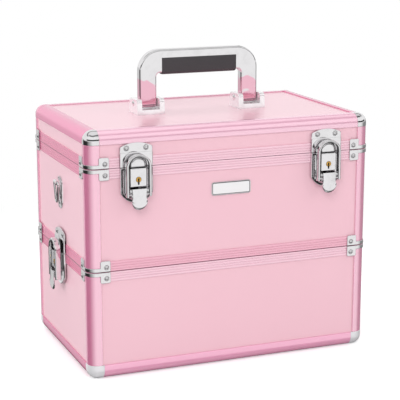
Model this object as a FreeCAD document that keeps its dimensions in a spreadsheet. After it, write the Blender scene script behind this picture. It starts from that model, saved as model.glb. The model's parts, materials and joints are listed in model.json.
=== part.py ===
"""Makeup storage case with handle: a hinged lid on an upper box, which lifts off a base box.

Lengths are in millimetres. +Z is up, the front faces -Y, and the origin lies under the middle of the
whole object at the level of the surface that it stands on.
"""
import FreeCAD, Part
import math
import os
import Sketcher
from FreeCAD import Vector

# Driving dimensions: name, millimetres, meaning.
DIMENSIONS = [
    ("case_width", 366.0, "over the corner posts, left to right"),
    ("case_depth", 230.0, "over the corner posts, front to rear"),
    ("base_height", 133.0, "floor to the seam between the base and the upper box"),
    ("middle_height", 123.0, "upper box, seam to seam"),
    ("lid_height", 44.0, "upper seam to the top of the lid"),
    ("corner_radius", 12.0, "round of every outer edge and corner"),
    ("skin", 1.5, "wall of the edge profiles in front of the boards"),
    ("board", 4.0, "thickness of the pink boards"),
    ("post_leg", 16.0, "width of a corner post seen from the front"),
    ("top_leg", 16.0, "width of the lid's edge profile"),
    ("bottom_leg", 18.0, "width of the base's edge profile"),
    ("flange_step", 1.0, "how much shorter a profile's inner flange is"),
    ("seam_gap", 0.3, "open gap along both seams"),
    ("rim_band", 12.0, "height of the ribbed band beside a seam"),
    ("rim_setback", 0.3, "how far a rim lies behind the posts"),
    ("rim_grip", 4.0, "how deep a board enters a rim"),
    ("rib_pitch", 3.0, "spacing of the grooves in a rim"),
    ("rib_width", 0.9, "width of a groove in a rim"),
    ("rib_depth", 0.5, "depth of a groove in a rim"),
    ("tongue_setback", 3.0, "tongue of a rim, behind the case's face"),
    ("tongue_width", 1.6, "thickness of the tongue"),
    ("tongue_height", 2.5, "rise of the tongue over its seam"),
    ("tongue_play", 0.5, "play of the tongue in its groove"),
    ("plate_skin", 1.0, "sheet of the corner plates"),
    ("plate_reach", 27.0, "corner plate, from the case's corner"),
    ("plate_start", 14.5, "where a corner plate widens from its strap"),
    ("plate_rise", 13.5, "corner plate, from the seam"),
    ("plate_round", 2.0, "round of a corner plate's free corners"),
    ("strap_rise", 5.0, "strap round the corner, from the seam"),
    ("strap_gap", 0.5, "corner plate to the seam"),
    ("latch_gap", 13.0, "front latch to the corner plate beside it"),
    ("latch_width", 40.0, "plates of a latch"),
    ("latch_sheet", 1.2, "sheet of a latch's plates"),
    ("catch_rise", 29.0, "catch plate over its seam"),
    ("catch_shoulder", 24.0, "where the catch plate's arched top starts"),
    ("catch_step", 17.5, "where the catch plate's raised part ends"),
    ("catch_lift", 1.0, "rise of that part"),
    ("boss_width", 19.0, "arched boss on the catch plate"),
    ("boss_rise", 13.0, "boss over its seam"),
    ("boss_reach", 8.0, "boss in front of the case"),
    ("boss_round", 2.0, "round of the boss's front edge"),
    ("keeper_drop", 42.5, "latch plate below its seam"),
    ("keeper_shoulder", 30.0, "where the latch plate's rounded end starts"),
    ("keeper_rim", 2.6, "height of the latch plate's raised rim"),
    ("keeper_rim_width", 1.6, "thickness of that rim"),
    ("lock_width", 20.0, "lock housing"),
    ("lock_drop", 22.2, "lock housing below its seam"),
    ("lock_reach", 9.0, "lock housing in front of the case"),
    ("lock_round", 1.0, "round of the housing's front edges"),
    ("key_drop", 13.5, "keyhole below its seam"),
    ("key_radius", 3.2, "lock cylinder"),
    ("key_depth", 5.0, "lock cylinder inside its housing"),
    ("key_proud", 0.5, "lock cylinder in front of its housing"),
    ("key_slot_width", 1.3, "key slot"),
    ("key_slot_rise", 1.2, "key slot over the cylinder's axis"),
    ("key_slot_depth", 3.0, "key slot"),
    ("key_notch", 2.0, "slot in the housing below the cylinder"),
    ("running_play", 0.05, "radial play of every pin and cylinder"),
    ("lever_width", 18.0, "finger lever"),
    ("lever_sheet", 1.5, "sheet of the finger lever"),
    ("lever_reach", 12.7, "finger lever in front of the case"),
    ("lever_top", 24.5, "top of the lever below its seam"),
    ("lever_bend", 44.5, "where the lever's lip starts, below its seam"),
    ("lever_end", 49.0, "end of the lever's lip below its seam"),
    ("lip_width", 20.0, "lip of the lever"),
    ("lip_flare", 4.0, "height over which the lever widens to its lip"),
    ("lip_crown", 3.5, "rise of the lip's round end"),
    ("lip_reach", 15.0, "lip of the lever in front of the case"),
    ("lip_fold", 0.5, "inner side of the bend below its outer side"),
    ("pivot_drop", 27.0, "lever pivot below its seam"),
    ("pivot_reach", 9.0, "lever pivot in front of the case"),
    ("pivot_radius", 1.3, "lever pin"),
    ("ear_radius", 2.7, "ears that hold the lever pin"),
    ("ear_sheet", 2.0, "thickness of an ear"),
    ("side_play", 0.3, "sideways play of the moving parts"),
    ("hoop_width", 31.0, "hoop of a latch"),
    ("hoop_band", 3.2, "band of the hoop"),
    ("hoop_back", 4.3, "back of the hoop in front of the case"),
    ("hoop_thickness", 8.0, "depth of that band"),
    ("hoop_clear", 0.6, "hoop over the boss"),
    ("hoop_pin_drop", 31.2, "hoop pivot below its seam"),
    ("hoop_pin_reach", 9.8, "hoop pivot in front of the case"),
    ("hoop_pin_radius", 1.2, "hoop pivot pin"),
    ("ring_plate_width", 20.0, "strap ring plate"),
    ("ring_plate_height", 41.0, "strap ring plate"),
    ("ring_plate_centre", 207.0, "height of that plate's middle"),
    ("ring_wire", 1.5, "radius of the strap ring's wire"),
    ("ring_pivot_rise", 13.0, "ring pivot over the plate's middle"),
    ("ring_pivot_reach", 3.7, "ring pivot in front of the case's side"),
    ("ring_half_width", 9.0, "half of the ring's straight bar"),
    ("ring_end_radius", 3.6, "round end of the ring, at the wire's middle"),
    ("ring_length", 21.0, "ring, from its bar to the middle of its round end"),
    ("saddle_width", 9.0, "saddle that holds the ring"),
    ("saddle_wall", 1.6, "wall of the saddle round the ring's bar"),
    ("nameplate_width", 51.0, "blank nameplate"),
    ("nameplate_height", 16.5, "blank nameplate"),
    ("nameplate_centre", 221.3, "height of the nameplate's middle"),
    ("nameplate_offset", -2.5, "nameplate's middle, right of the case's middle"),
    ("nameplate_sheet", 1.4, "thickness of the nameplate"),
    ("nameplate_frame", 1.5, "raised border of the nameplate"),
    ("nameplate_round", 3.0, "round of the nameplate's corners"),
    ("nameplate_sunk", 0.4, "depth of the field inside that border"),
    ("hinge_offset", 4.0, "rear hinge axis behind the case"),
    ("hinge_gap", 26.0, "rear hinge to the corner plate beside it"),
    ("hinge_width", 40.0, "rear hinge"),
    ("hinge_leaf", 18.0, "hinge leaf from the axis to its edge"),
    ("hinge_clear", 3.9, "hinge leaf's near edge from the axis"),
    ("hinge_sheet", 1.5, "sheet of the hinge leaves"),
    ("knuckle_radius", 3.4, "knuckles of the rear hinges"),
    ("knuckle_middle", 16.0, "length of the lid's knuckle"),
    ("hinge_pin_radius", 1.5, "pin of the rear hinges"),
    ("hinge_head", 1.2, "head of that pin"),
    ("handle_width", 158.0, "handle over its arms"),
    ("handle_rise", 77.5, "top of the handle over the lid"),
    ("handle_thickness", 12.0, "handle, front to rear"),
    ("arm_width", 22.0, "arm of the handle"),
    ("bar_height", 29.0, "top bar of the handle with its grip"),
    ("spine_height", 10.5, "metal over the grip"),
    ("handle_round", 27.0, "outer corners of the handle"),
    ("handle_inner_round", 5.0, "inner corners of the handle"),
    ("handle_edge", 2.2, "round along the handle's long edges"),
    ("grip_length", 100.0, "rubber grip"),
    ("grip_proud", 0.5, "grip in front of the metal"),
    ("grip_hang", 2.5, "grip below the bar's metal ends"),
    ("grip_round", 4.0, "round of the grip's lower edges"),
    ("handle_pivot_rise", 11.5, "handle pivot over the lid"),
    ("handle_pin_radius", 2.5, "pin of the handle"),
    ("bracket_width", 36.0, "handle bracket"),
    ("bracket_depth", 32.0, "handle bracket"),
    ("bracket_rise", 17.5, "handle bracket over the lid"),
    ("bracket_bar_rise", 4.6, "front and rear bar of the bracket over the lid"),
    ("bracket_bar_width", 4.0, "those bars, front to rear"),
    ("bracket_floor", 2.0, "floor of the bracket"),
    ("bracket_play", 0.5, "arm to each cheek of its bracket"),
    ("bracket_round", 4.0, "round of the cheeks' upper corners"),
    ("lining", 2.0, "soft lining of the boxes' floors"),
    ("floor_lift", 1.0, "upper box's floor over its seam"),
    ("mirror_side_margin", 26.0, "mirror to the lid's side walls"),
    ("mirror_end_margin", 23.0, "mirror to the lid's front and rear walls"),
    ("mirror_sheet", 2.5, "mirror in the lid"),
    ("tray_play", 2.5, "tray to the box's sides"),
    ("tray_front_room", 12.0, "tray to the box's front and rear"),
    ("tray_height", 46.0, "tray"),
    ("tray_top", 250.0, "height of the tray's edge"),
    ("tray_wall", 2.0, "walls and floor of the tray"),
    ("tray_round", 8.0, "upright corners of the tray"),
    ("tray_split", 24.0, "long divider of the tray in front of its middle"),
    ("rail_width", 9.0, "rails under the tray"),
    ("rail_height", 6.0, "rails under the tray"),
]

doc = FreeCAD.newDocument("makeup_case")


class Size:
    """A length together with the spreadsheet expression that gives it."""

    def __init__(self, number, text):
        self.number = number
        self.text = text

    def __add__(self, other):
        other = as_size(other)
        return Size(self.number + other.number, f"({self.text} + {other.text})")

    def __sub__(self, other):
        other = as_size(other)
        return Size(self.number - other.number, f"({self.text} - {other.text})")

    def __mul__(self, factor):
        factor = as_size(factor)
        return Size(self.number * factor.number, f"({self.text} * {factor.text})")

    def __truediv__(self, divisor):
        divisor = as_size(divisor)
        return Size(self.number / divisor.number, f"({self.text} / {divisor.text})")

    def __neg__(self):
        return Size(-self.number, f"(0 - {self.text})")

    def __radd__(self, other):
        return as_size(other) + self

    def __rsub__(self, other):
        return as_size(other) - self

    def __rmul__(self, factor):
        return self * factor


def as_size(value):
    """A plain number as a Size, a Size as it is."""
    return value if isinstance(value, Size) else Size(float(value), f"{float(value):.6f}")


def root(value):
    """The square root of a Size."""
    return Size(math.sqrt(value.number), f"sqrt({value.text})")


class SizeTable:
    """The spreadsheet of driving dimensions, read by name."""

    def __init__(self, rows):
        sheet = doc.addObject("Spreadsheet::Sheet", "Sizes")
        for line, (name, value, meaning) in enumerate(rows, 1):
            sheet.set(f"A{line}", name)
            sheet.set(f"B{line}", str(value))
            sheet.set(f"C{line}", meaning)
            sheet.setAlias(f"B{line}", name)
            setattr(self, name, Size(value, f"Sizes.{name}"))


s = SizeTable(DIMENSIONS)
doc.recompute()

OUT, IN = 1, -1
RIM_GROOVES = (1, 2, 3)
ZERO = as_size(0)
nodes = []

# Places that many pieces share.
half_width = s.case_width / 2
half_depth = s.case_depth / 2
low_seam = s.base_height
high_seam = s.base_height + s.middle_height
case_top = high_seam + s.lid_height
half_gap = s.seam_gap / 2
wall = 2 * s.skin + s.board
hinge_reach = s.hinge_offset + s.knuckle_radius
centring = (s.lip_reach - hinge_reach) / 2


# ---------------------------------------------------------------- modelling helpers

def bind(item, name, value):
    """Tie one property of a document object to the spreadsheet."""
    item.setExpression(name, as_size(value).text)


def new_body(name):
    return doc.addObject("PartDesign::Body", name)


def new_sketch(body, role, offset=ZERO):
    """A sketch on one of the body's origin planes, moved along that plane's normal."""
    sketch = body.newObject("Sketcher::SketchObject", body.Name + "_sketch")
    support = [item for item in body.Origin.OriginFeatures if item.Role == role][0]
    sketch.AttachmentSupport = (support, [""])
    sketch.MapMode = "FlatFace"
    bind(sketch, "AttachmentOffset.Base.z", offset)
    return sketch


def hold(sketch, kind, index, position, value):
    """Constrain one coordinate of a sketch's point to a Size."""
    value = as_size(value)
    number = sketch.addConstraint(Sketcher.Constraint(kind, -1, 1, index, position, value.number))
    sketch.setExpression(f"Constraints[{number}]", value.text)


def outline(sketch, points, arcs=None):
    """Draw a closed outline through points.

    arcs gives, for the index of a side that is an arc, the arc's centre and whether it bulges OUT of the
    outline or IN.
    """
    arcs = arcs or {}
    points = [(as_size(x), as_size(y)) for x, y in points]
    plain = [Vector(x.number, y.number, 0) for x, y in points]
    count = len(points)
    first = sketch.GeometryCount
    area = sum(plain[i].x * plain[(i + 1) % count].y - plain[(i + 1) % count].x * plain[i].y
               for i in range(count))
    ends = []
    for i in range(count):
        start, finish = plain[i], plain[(i + 1) % count]
        if i not in arcs:
            sketch.addGeometry(Part.LineSegment(start, finish), False)
            ends.append((1, 2))
            continue
        across, along, bulge = arcs[i]
        centre = Vector(as_size(across).number, as_size(along).number, 0)
        forwards = (area > 0) == (bulge == OUT)
        begin, end = (start, finish) if forwards else (finish, start)
        angle = math.atan2(begin.y - centre.y, begin.x - centre.x)
        stop = math.atan2(end.y - centre.y, end.x - centre.x)
        while stop <= angle:
            stop += 2 * math.pi
        circle = Part.Circle(centre, Vector(0, 0, 1), begin.distanceToPoint(centre))
        sketch.addGeometry(Part.ArcOfCircle(circle, angle, stop), False)
        ends.append((1, 2) if forwards else (2, 1))
    for i in range(count):
        following = (i + 1) % count
        sketch.addConstraint(Sketcher.Constraint(
            "Coincident", first + i, ends[i][1], first + following, ends[following][0]))
    for i in range(count):
        hold(sketch, "DistanceX", first + i, ends[i][0], points[i][0])
        hold(sketch, "DistanceY", first + i, ends[i][0], points[i][1])
        if i in arcs:
            chord = plain[(i + 1) % count] - plain[i]
            if abs(chord.y) > abs(chord.x):
                hold(sketch, "DistanceX", first + i, 3, arcs[i][0])
            else:
                hold(sketch, "DistanceY", first + i, 3, arcs[i][1])


def circle(sketch, across, along, radius):
    """Draw a full circle."""
    across, along, radius = as_size(across), as_size(along), as_size(radius)
    index = sketch.addGeometry(
        Part.Circle(Vector(across.number, along.number, 0), Vector(0, 0, 1), radius.number), False)
    hold(sketch, "DistanceX", index, 3, across)
    hold(sketch, "DistanceY", index, 3, along)
    number = sketch.addConstraint(Sketcher.Constraint("Radius", index, radius.number))
    sketch.setExpression(f"Constraints[{number}]", radius.text)


def rectangle(sketch, low, high):
    """Draw a rectangle from its low corner to its high corner."""
    outline(sketch, [(low[0], low[1]), (high[0], low[1]), (high[0], high[1]), (low[0], high[1])])


def pad(body, sketch, length, symmetric=False):
    """Raise a sketch along its normal, or to both sides of it."""
    feature = body.newObject("PartDesign::Pad", body.Name + "_pad")
    feature.Profile = sketch
    feature.SideType = "Symmetric" if symmetric else "One side"
    bind(feature, "Length", length)
    return feature


def pocket(body, sketch, length, symmetric=False, forwards=False):
    """Cut a sketch against its normal, along it with forwards, or to both sides of it."""
    feature = body.newObject("PartDesign::Pocket", body.Name + "_pocket")
    feature.Profile = sketch
    feature.SideType = "Symmetric" if symmetric else "One side"
    feature.Reversed = forwards
    bind(feature, "Length", length)
    return feature


def round_edges(body, base, radius, wanted):
    """Fillet the edges of a feature that a test picks out."""
    doc.recompute()
    names = [f"Edge{i}" for i, edge in enumerate(base.Shape.Edges, 1) if wanted(edge)]
    fillet = body.newObject("PartDesign::Fillet", body.Name + "_round")
    fillet.Base = (base, names)
    bind(fillet, "Radius", radius)
    return fillet


def middle_of(edge):
    return edge.valueAt((edge.FirstParameter + edge.LastParameter) / 2)


def runs_along(edge, axis):
    """Whether an edge is straight and parallel to axis 0, 1 or 2."""
    if len(edge.Vertexes) != 2 or edge.Curve.TypeId != "Part::GeomLine":
        return False
    run = edge.Vertexes[1].Point - edge.Vertexes[0].Point
    return abs(abs(run[axis]) - run.Length) < 1e-6


def block(name, low, high):
    """A plain block between two corners."""
    item = doc.addObject("Part::Box", name)
    for side, word, a, b in zip("xyz", ("Length", "Width", "Height"), low, high):
        bind(item, word, as_size(b) - a)
        bind(item, f"Placement.Base.{side}", a)
    return item


def mirrored(item, axis):
    """A mirror image across the plane through the origin that is square to axis 0, 1 or 2."""
    image = doc.addObject("Part::Mirroring", item.Name + "_image")
    image.Source = item
    image.Normal = Vector(*(1 if i == axis else 0 for i in range(3)))
    return image


def group(name, items):
    """Several solids of one kind as one compound."""
    compound = doc.addObject("Part::Compound", name)
    compound.Links = items
    return compound


def cut(name, base, tool):
    result = doc.addObject("Part::Cut", name)
    result.Base = base
    result.Tool = tool
    return result


def node(name, item):
    """Export an object as one node of the part, under its own name."""
    item.Label = name
    bind(item, "Placement.Base.y", centring)
    nodes.append(item)


def node_group(name, items):
    node(name, group(name, items))


def on_both_ends(name, item, axis):
    """A node of two solids, the second mirrored."""
    node_group(name, [item, mirrored(item, axis)])


def on_four_corners(name, item):
    """A node of four solids, one at each upright corner."""
    across = mirrored(item, 0)
    node_group(name, [item, across, mirrored(item, 1), mirrored(across, 1)])


def placed(name, item, across, along, up, turn=0):
    """A copy of a master piece, turned about Z and moved."""
    copy = group(name, [item])
    bind(copy, "Placement.Base.x", across)
    bind(copy, "Placement.Base.y", along)
    bind(copy, "Placement.Base.z", up)
    bind(copy, "Placement.Rotation.Angle", turn)
    return copy


# ---------------------------------------------------------------- edge profiles and boards

def edge_profile(leg):
    """Outline of the profile that holds two boards at a rounded edge, from its outer corner inwards."""
    tip = leg - s.flange_step
    behind = s.skin + s.board
    grip = s.corner_radius
    return [
        (grip, ZERO), (leg, ZERO), (leg, s.skin), (grip, s.skin), (grip, behind), (tip, behind),
        (tip, wall), (wall, wall), (wall, tip), (behind, tip), (behind, grip), (s.skin, grip),
        (s.skin, leg), (ZERO, leg), (ZERO, grip)]


def draw_edge_profile(sketch, leg, across, along, rises=1):
    """Draw an edge profile with its outer corner at (across, along); rises is -1 if it hangs down."""
    points = [(across + a, along + rises * b) for a, b in edge_profile(leg)]
    last = len(points) - 1
    outline(sketch, points, {last: (across + s.corner_radius, along + rises * s.corner_radius, OUT)})


def corner_posts(name, low, high):
    """The four upright corner posts of one section."""
    body = new_body(name + "_post")
    sketch = new_sketch(body, "XY_Plane", low)
    draw_edge_profile(sketch, s.post_leg, -half_width, -half_depth)
    pad(body, sketch, high - low)
    on_four_corners(name, body)


def edge_frame(name, leg, level, rises):
    """Four horizontal edge profiles, between the corner caps of the base or the lid."""
    front = new_body(name + "_front")
    sketch = new_sketch(front, "YZ_Plane")
    draw_edge_profile(sketch, leg, -half_depth, level, rises)
    pad(front, sketch, s.case_width - 2 * leg, symmetric=True)
    side = new_body(name + "_side")
    sketch = new_sketch(side, "XZ_Plane")
    draw_edge_profile(sketch, leg, -half_width, level, rises)
    pad(side, sketch, s.case_depth - 2 * leg, symmetric=True)
    node_group(name, [front, mirrored(front, 1), side, mirrored(side, 0)])


def rim_outline(sketch, face, seam, up, has_tongue):
    """Section of a ribbed rim: face is the case's outer face, up is +1 above the seam and -1 below it."""
    tongue_in = s.tongue_setback + s.tongue_width

    def at(inwards, away):
        return face + inwards, seam + up * away

    points = [at(wall, half_gap)]
    if has_tongue:
        points += [at(tongue_in, half_gap), at(tongue_in, -s.tongue_height),
                   at(s.tongue_setback, -s.tongue_height), at(s.tongue_setback, half_gap)]
    else:
        roof = s.tongue_height + s.tongue_play
        points += [at(tongue_in + s.tongue_play, half_gap), at(tongue_in + s.tongue_play, roof),
                   at(s.tongue_setback - s.tongue_play, roof),
                   at(s.tongue_setback - s.tongue_play, half_gap)]
    points.append(at(s.rim_setback, half_gap))
    for groove in RIM_GROOVES:
        middle = groove * s.rib_pitch
        deep = s.rim_setback + s.rib_depth
        points += [at(s.rim_setback, middle - s.rib_width / 2), at(deep, middle - s.rib_width / 2),
                   at(deep, middle + s.rib_width / 2), at(s.rim_setback, middle + s.rib_width / 2)]
    behind = s.skin + s.board
    points += [at(s.rim_setback, s.rim_band), at(s.skin, s.rim_band),
               at(s.skin, s.rim_band - s.rim_grip), at(behind, s.rim_band - s.rim_grip),
               at(behind, s.rim_band - s.flange_step), at(wall, s.rim_band - s.flange_step)]
    outline(sketch, points)


def rim(name, seam, up, has_tongue):
    """The four ribbed rims of a section along one seam, between the corner posts."""
    front = new_body(name + "_front")
    sketch = new_sketch(front, "YZ_Plane")
    rim_outline(sketch, -half_depth, seam, up, has_tongue)
    pad(front, sketch, s.case_width - 2 * s.post_leg, symmetric=True)
    side = new_body(name + "_side")
    sketch = new_sketch(side, "XZ_Plane")
    rim_outline(sketch, -half_width, seam, up, has_tongue)
    pad(side, sketch, s.case_depth - 2 * s.post_leg, symmetric=True)
    node_group(name, [front, mirrored(front, 1), side, mirrored(side, 0)])


def wall_boards(section, low, high):
    """Front and rear boards, and side boards, of one section."""
    reach = half_width - s.corner_radius
    front = block(section + "_front_board", (-reach, -half_depth + s.skin, low),
                  (reach, -half_depth + s.skin + s.board, high))
    on_both_ends(section + "_front_rear_panels", front, 1)
    reach = half_depth - s.corner_radius
    side = block(section + "_side_board", (-half_width + s.skin, -reach, low),
                 (-half_width + s.skin + s.board, reach, high))
    on_both_ends(section + "_side_panels", side, 0)


def corner_ball(name, leg, inset):
    """A cube at the front left bottom corner with its three outer edges rounded."""
    body = new_body(name)
    sketch = new_sketch(body, "XY_Plane", inset)
    rectangle(sketch, (-half_width + inset, -half_depth + inset), (-half_width + leg, -half_depth + leg))
    solid = pad(body, sketch, leg - inset)
    low = Vector((-half_width + inset).number, (-half_depth + inset).number, as_size(inset).number)

    def outer(edge):
        spot = middle_of(edge) - low
        return sorted(abs(value) < 1e-6 for value in spot)[1]

    round_edges(body, solid, s.corner_radius - inset, outer)
    return body


def corner_cap(name, leg):
    """The pressed cap of one bottom corner, wrapped round the ends of three edge profiles."""
    return cut(name, corner_ball(name + "_outside", leg, ZERO), corner_ball(name + "_inside", leg, s.skin))


def corner_plate(name):
    """One half of a seam corner plate, over its seam: two plates joined by a strap round the corner."""
    body = new_body(name)
    far = s.plate_reach
    sheet = s.plate_skin
    sketch = new_sketch(body, "XY_Plane", s.strap_gap)
    x, y = -half_width, -half_depth
    ring = s.corner_radius
    outline(sketch, [
        (x + ring, y - sheet), (x + far, y - sheet), (x + far, y), (x + ring, y), (x, y + ring),
        (x, y + far), (x - sheet, y + far), (x - sheet, y + ring)],
        {3: (x + ring, y + ring, IN), 7: (x + ring, y + ring, OUT)})
    plates = pad(body, sketch, s.plate_rise - s.strap_gap)
    sketch = new_sketch(body, "XY_Plane", s.plate_rise)
    start = s.plate_start
    rectangle(sketch, (x - 2 * sheet, y - 2 * sheet), (x + start, y + start))
    pocket(body, sketch, s.plate_rise - s.strap_rise)
    trimmed = body.Tip
    top = s.plate_rise.number

    def free_corner(edge):
        spot = middle_of(edge)
        flat = runs_along(edge, 0) or runs_along(edge, 1)
        return flat and abs(spot.z - top) < 1e-6 and edge.Length < 1.5 * sheet.number

    round_edges(body, trimmed, s.plate_round, free_corner)
    return body


plate_master = corner_plate("corner_plate")
plate_upturned = mirrored(plate_master, 2)


def corner_plates(name, above=(), below=()):
    """All corner plates that one section carries, above or below the seams named."""
    items = [placed(f"{name}_above", plate_master, ZERO, ZERO, seam) for seam in above]
    items += [placed(f"{name}_below", plate_upturned, ZERO, ZERO, seam) for seam in below]
    everywhere = []
    for item in items:
        across = mirrored(item, 0)
        everywhere += [item, across, mirrored(item, 1), mirrored(across, 1)]
    node_group(name, everywhere)


# ---------------------------------------------------------------- draw latch, in its own frame
# The latch's frame has its origin on the seam at the case's outer face, X to the right, -Y outwards.

def latch_catch():
    """The catch plate over the seam: arched top, raised lower part and the arched boss."""
    body = new_body("latch_catch")
    half = s.latch_width / 2
    crown = s.catch_rise - s.catch_shoulder
    radius = (half * half + crown * crown) / (2 * crown)
    sketch = new_sketch(body, "XZ_Plane")
    outline(sketch, [(-half, half_gap), (half, half_gap), (half, s.catch_shoulder),
                     (-half, s.catch_shoulder)], {2: (ZERO, s.catch_rise - radius, OUT)})
    pad(body, sketch, s.latch_sheet)
    sketch = new_sketch(body, "XZ_Plane")
    rectangle(sketch, (-half, half_gap), (half, s.catch_step))
    pad(body, sketch, s.latch_sheet + s.catch_lift)
    sketch = new_sketch(body, "XZ_Plane")
    half = s.boss_width / 2
    arch = s.boss_rise - half
    outline(sketch, [(-half, half_gap), (half, half_gap), (half, arch), (-half, arch)],
            {2: (ZERO, arch, OUT)})
    boss = pad(body, sketch, s.boss_reach)
    front = -s.boss_reach.number
    floor = half_gap.number

    def crest(edge):
        spot = middle_of(edge)
        return abs(spot.y - front) < 1e-6 and spot.z > floor + 0.01

    round_edges(body, boss, s.boss_round, crest)
    return body


def rounded_end(sketch, half, high, shoulder, drop):
    """A plate outline that hangs down from high and ends in an arc."""
    crown = drop - shoulder
    radius = (half * half + crown * crown) / (2 * crown)
    outline(sketch, [(-half, -shoulder), (half, -shoulder), (half, high), (-half, high)],
            {0: (ZERO, radius - drop, OUT)})


def latch_keeper():
    """The plate below the seam: pressed dish with a rim, the lock housing and two ears for the lever pin."""
    body = new_body("latch_keeper")
    half = s.latch_width / 2
    sketch = new_sketch(body, "XZ_Plane")
    rounded_end(sketch, half, -half_gap, s.keeper_shoulder, s.keeper_drop)
    pad(body, sketch, s.keeper_rim)
    sketch = new_sketch(body, "XZ_Plane", s.latch_sheet)
    edge = s.keeper_rim_width
    rounded_end(sketch, half - edge, -half_gap - edge, s.keeper_shoulder, s.keeper_drop - edge)
    pocket(body, sketch, s.keeper_rim, forwards=True)
    sketch = new_sketch(body, "XZ_Plane")
    half = s.lock_width / 2
    rectangle(sketch, (-half, -s.lock_drop), (half, -half_gap))
    housing = pad(body, sketch, s.lock_reach)
    front = -s.lock_reach.number
    round_edges(body, housing, s.lock_round, lambda line: abs(middle_of(line).y - front) < 1e-6)
    sketch = new_sketch(body, "XZ_Plane", s.lock_reach)
    circle(sketch, ZERO, -s.key_drop, s.key_radius + s.running_play)
    pocket(body, sketch, s.key_depth)
    sketch = new_sketch(body, "XZ_Plane", s.lock_reach)
    half = s.key_slot_width / 2
    rectangle(sketch, (-half, -s.key_drop - s.key_radius - s.key_notch), (half, -s.key_drop))
    pocket(body, sketch, s.key_slot_depth)
    inner = s.lever_width / 2 + s.side_play
    outer = inner + s.ear_sheet
    sketch = new_sketch(body, "YZ_Plane")
    r = s.ear_radius
    outline(sketch, [(-s.pivot_reach, -s.pivot_drop - r), (ZERO, -s.pivot_drop - r),
                     (ZERO, -s.pivot_drop + r), (-s.pivot_reach, -s.pivot_drop + r)],
            {3: (-s.pivot_reach, -s.pivot_drop, OUT)})
    pad(body, sketch, 2 * outer, symmetric=True)
    sketch = new_sketch(body, "YZ_Plane")
    rectangle(sketch, (-s.pivot_reach - 2 * r, -s.pivot_drop - 2 * r), (-s.latch_sheet, -s.lock_drop))
    pocket(body, sketch, 2 * inner, symmetric=True)
    sketch = new_sketch(body, "YZ_Plane")
    circle(sketch, -s.pivot_reach, -s.pivot_drop, s.pivot_radius + s.running_play)
    pocket(body, sketch, 3 * outer, symmetric=True)
    return body


def latch_pin():
    """The pin that joins the lever to the ears."""
    body = new_body("latch_pin")
    sketch = new_sketch(body, "YZ_Plane")
    circle(sketch, -s.pivot_reach, -s.pivot_drop, s.pivot_radius)
    pad(body, sketch, s.lever_width + 2 * (s.side_play + s.ear_sheet), symmetric=True)
    return body


def lever_channel():
    """The lever's bent channel, as wide as its lip all the way up."""
    body = new_body("lever_channel")
    front = s.lever_reach
    back = s.lever_reach - s.lever_sheet
    root = s.pivot_reach - s.ear_radius
    heel = s.hoop_pin_drop + 2 * s.hoop_pin_radius
    sketch = new_sketch(body, "YZ_Plane")
    outline(sketch, [
        (-front, -s.lever_top), (-front, -s.lever_bend), (-s.lip_reach, -s.lever_end + s.lever_sheet),
        (-s.lip_reach + s.lever_sheet, -s.lever_end), (-back, -s.lever_bend - s.lip_fold),
        (-back, -heel - s.hoop_pin_radius), (-root, -heel), (-root, -s.lever_top)])
    pad(body, sketch, s.lip_width, symmetric=True)
    sketch = new_sketch(body, "YZ_Plane")
    rectangle(sketch, (-back, -heel - 2 * s.lever_sheet), (ZERO, -s.lever_top + s.lever_sheet))
    pocket(body, sketch, s.lever_width - 2 * s.lever_sheet, symmetric=True)
    sketch = new_sketch(body, "YZ_Plane")
    circle(sketch, -s.pivot_reach, -s.pivot_drop, s.pivot_radius + s.running_play)
    circle(sketch, -s.hoop_pin_reach, -s.hoop_pin_drop, s.hoop_pin_radius + s.running_play)
    pocket(body, sketch, 2 * s.lever_width, symmetric=True)
    return body


def latch_lever():
    """The finger lever: a channel with two flanges that widens to a curled lip with a round end."""
    front_view = new_body("lever_front_view")
    sketch = new_sketch(front_view, "XZ_Plane")
    half = s.lever_width / 2
    wide = s.lip_width / 2
    round_start = s.lip_crown - s.lever_end
    radius = (wide * wide + s.lip_crown * s.lip_crown) / (2 * s.lip_crown)
    outline(sketch, [
        (-wide, round_start), (wide, round_start), (wide, -s.lever_bend),
        (half, s.lip_flare - s.lever_bend), (half, -s.lever_top), (-half, -s.lever_top),
        (-half, s.lip_flare - s.lever_bend), (-wide, -s.lever_bend)],
        {0: (ZERO, radius - s.lever_end, OUT)})
    pad(front_view, sketch, s.lip_reach)
    lever = doc.addObject("Part::MultiCommon", "latch_lever")
    lever.Shapes = [lever_channel(), front_view]
    return lever


def latch_hoop():
    """The hoop: an upturned U whose two inward pins turn in the lever's flanges."""
    body = new_body("latch_hoop")
    outer = s.hoop_width / 2
    inner = outer - s.hoop_band
    foot = -s.hoop_pin_drop - 2 * s.hoop_pin_radius
    arch = s.boss_rise + s.hoop_clear - inner
    sketch = new_sketch(body, "XZ_Plane", s.hoop_back)
    outline(sketch, [(inner, foot), (outer, foot), (outer, arch), (-outer, arch), (-outer, foot),
                     (-inner, foot), (-inner, arch), (inner, arch)],
            {2: (ZERO, arch, OUT), 6: (ZERO, arch, IN)})
    pad(body, sketch, s.hoop_thickness)
    sketch = new_sketch(body, "YZ_Plane")
    circle(sketch, -s.hoop_pin_reach, -s.hoop_pin_drop, s.hoop_pin_radius)
    pad(body, sketch, 2 * inner, symmetric=True)
    sketch = new_sketch(body, "YZ_Plane")
    middle = -s.hoop_pin_reach
    reach = 2 * s.hoop_pin_radius
    rectangle(sketch, (middle - reach, -s.hoop_pin_drop - reach), (middle + reach, -s.hoop_pin_drop + reach))
    pocket(body, sketch, s.lever_width - 2 * s.lever_sheet + 2 * s.side_play, symmetric=True)
    return body


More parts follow.
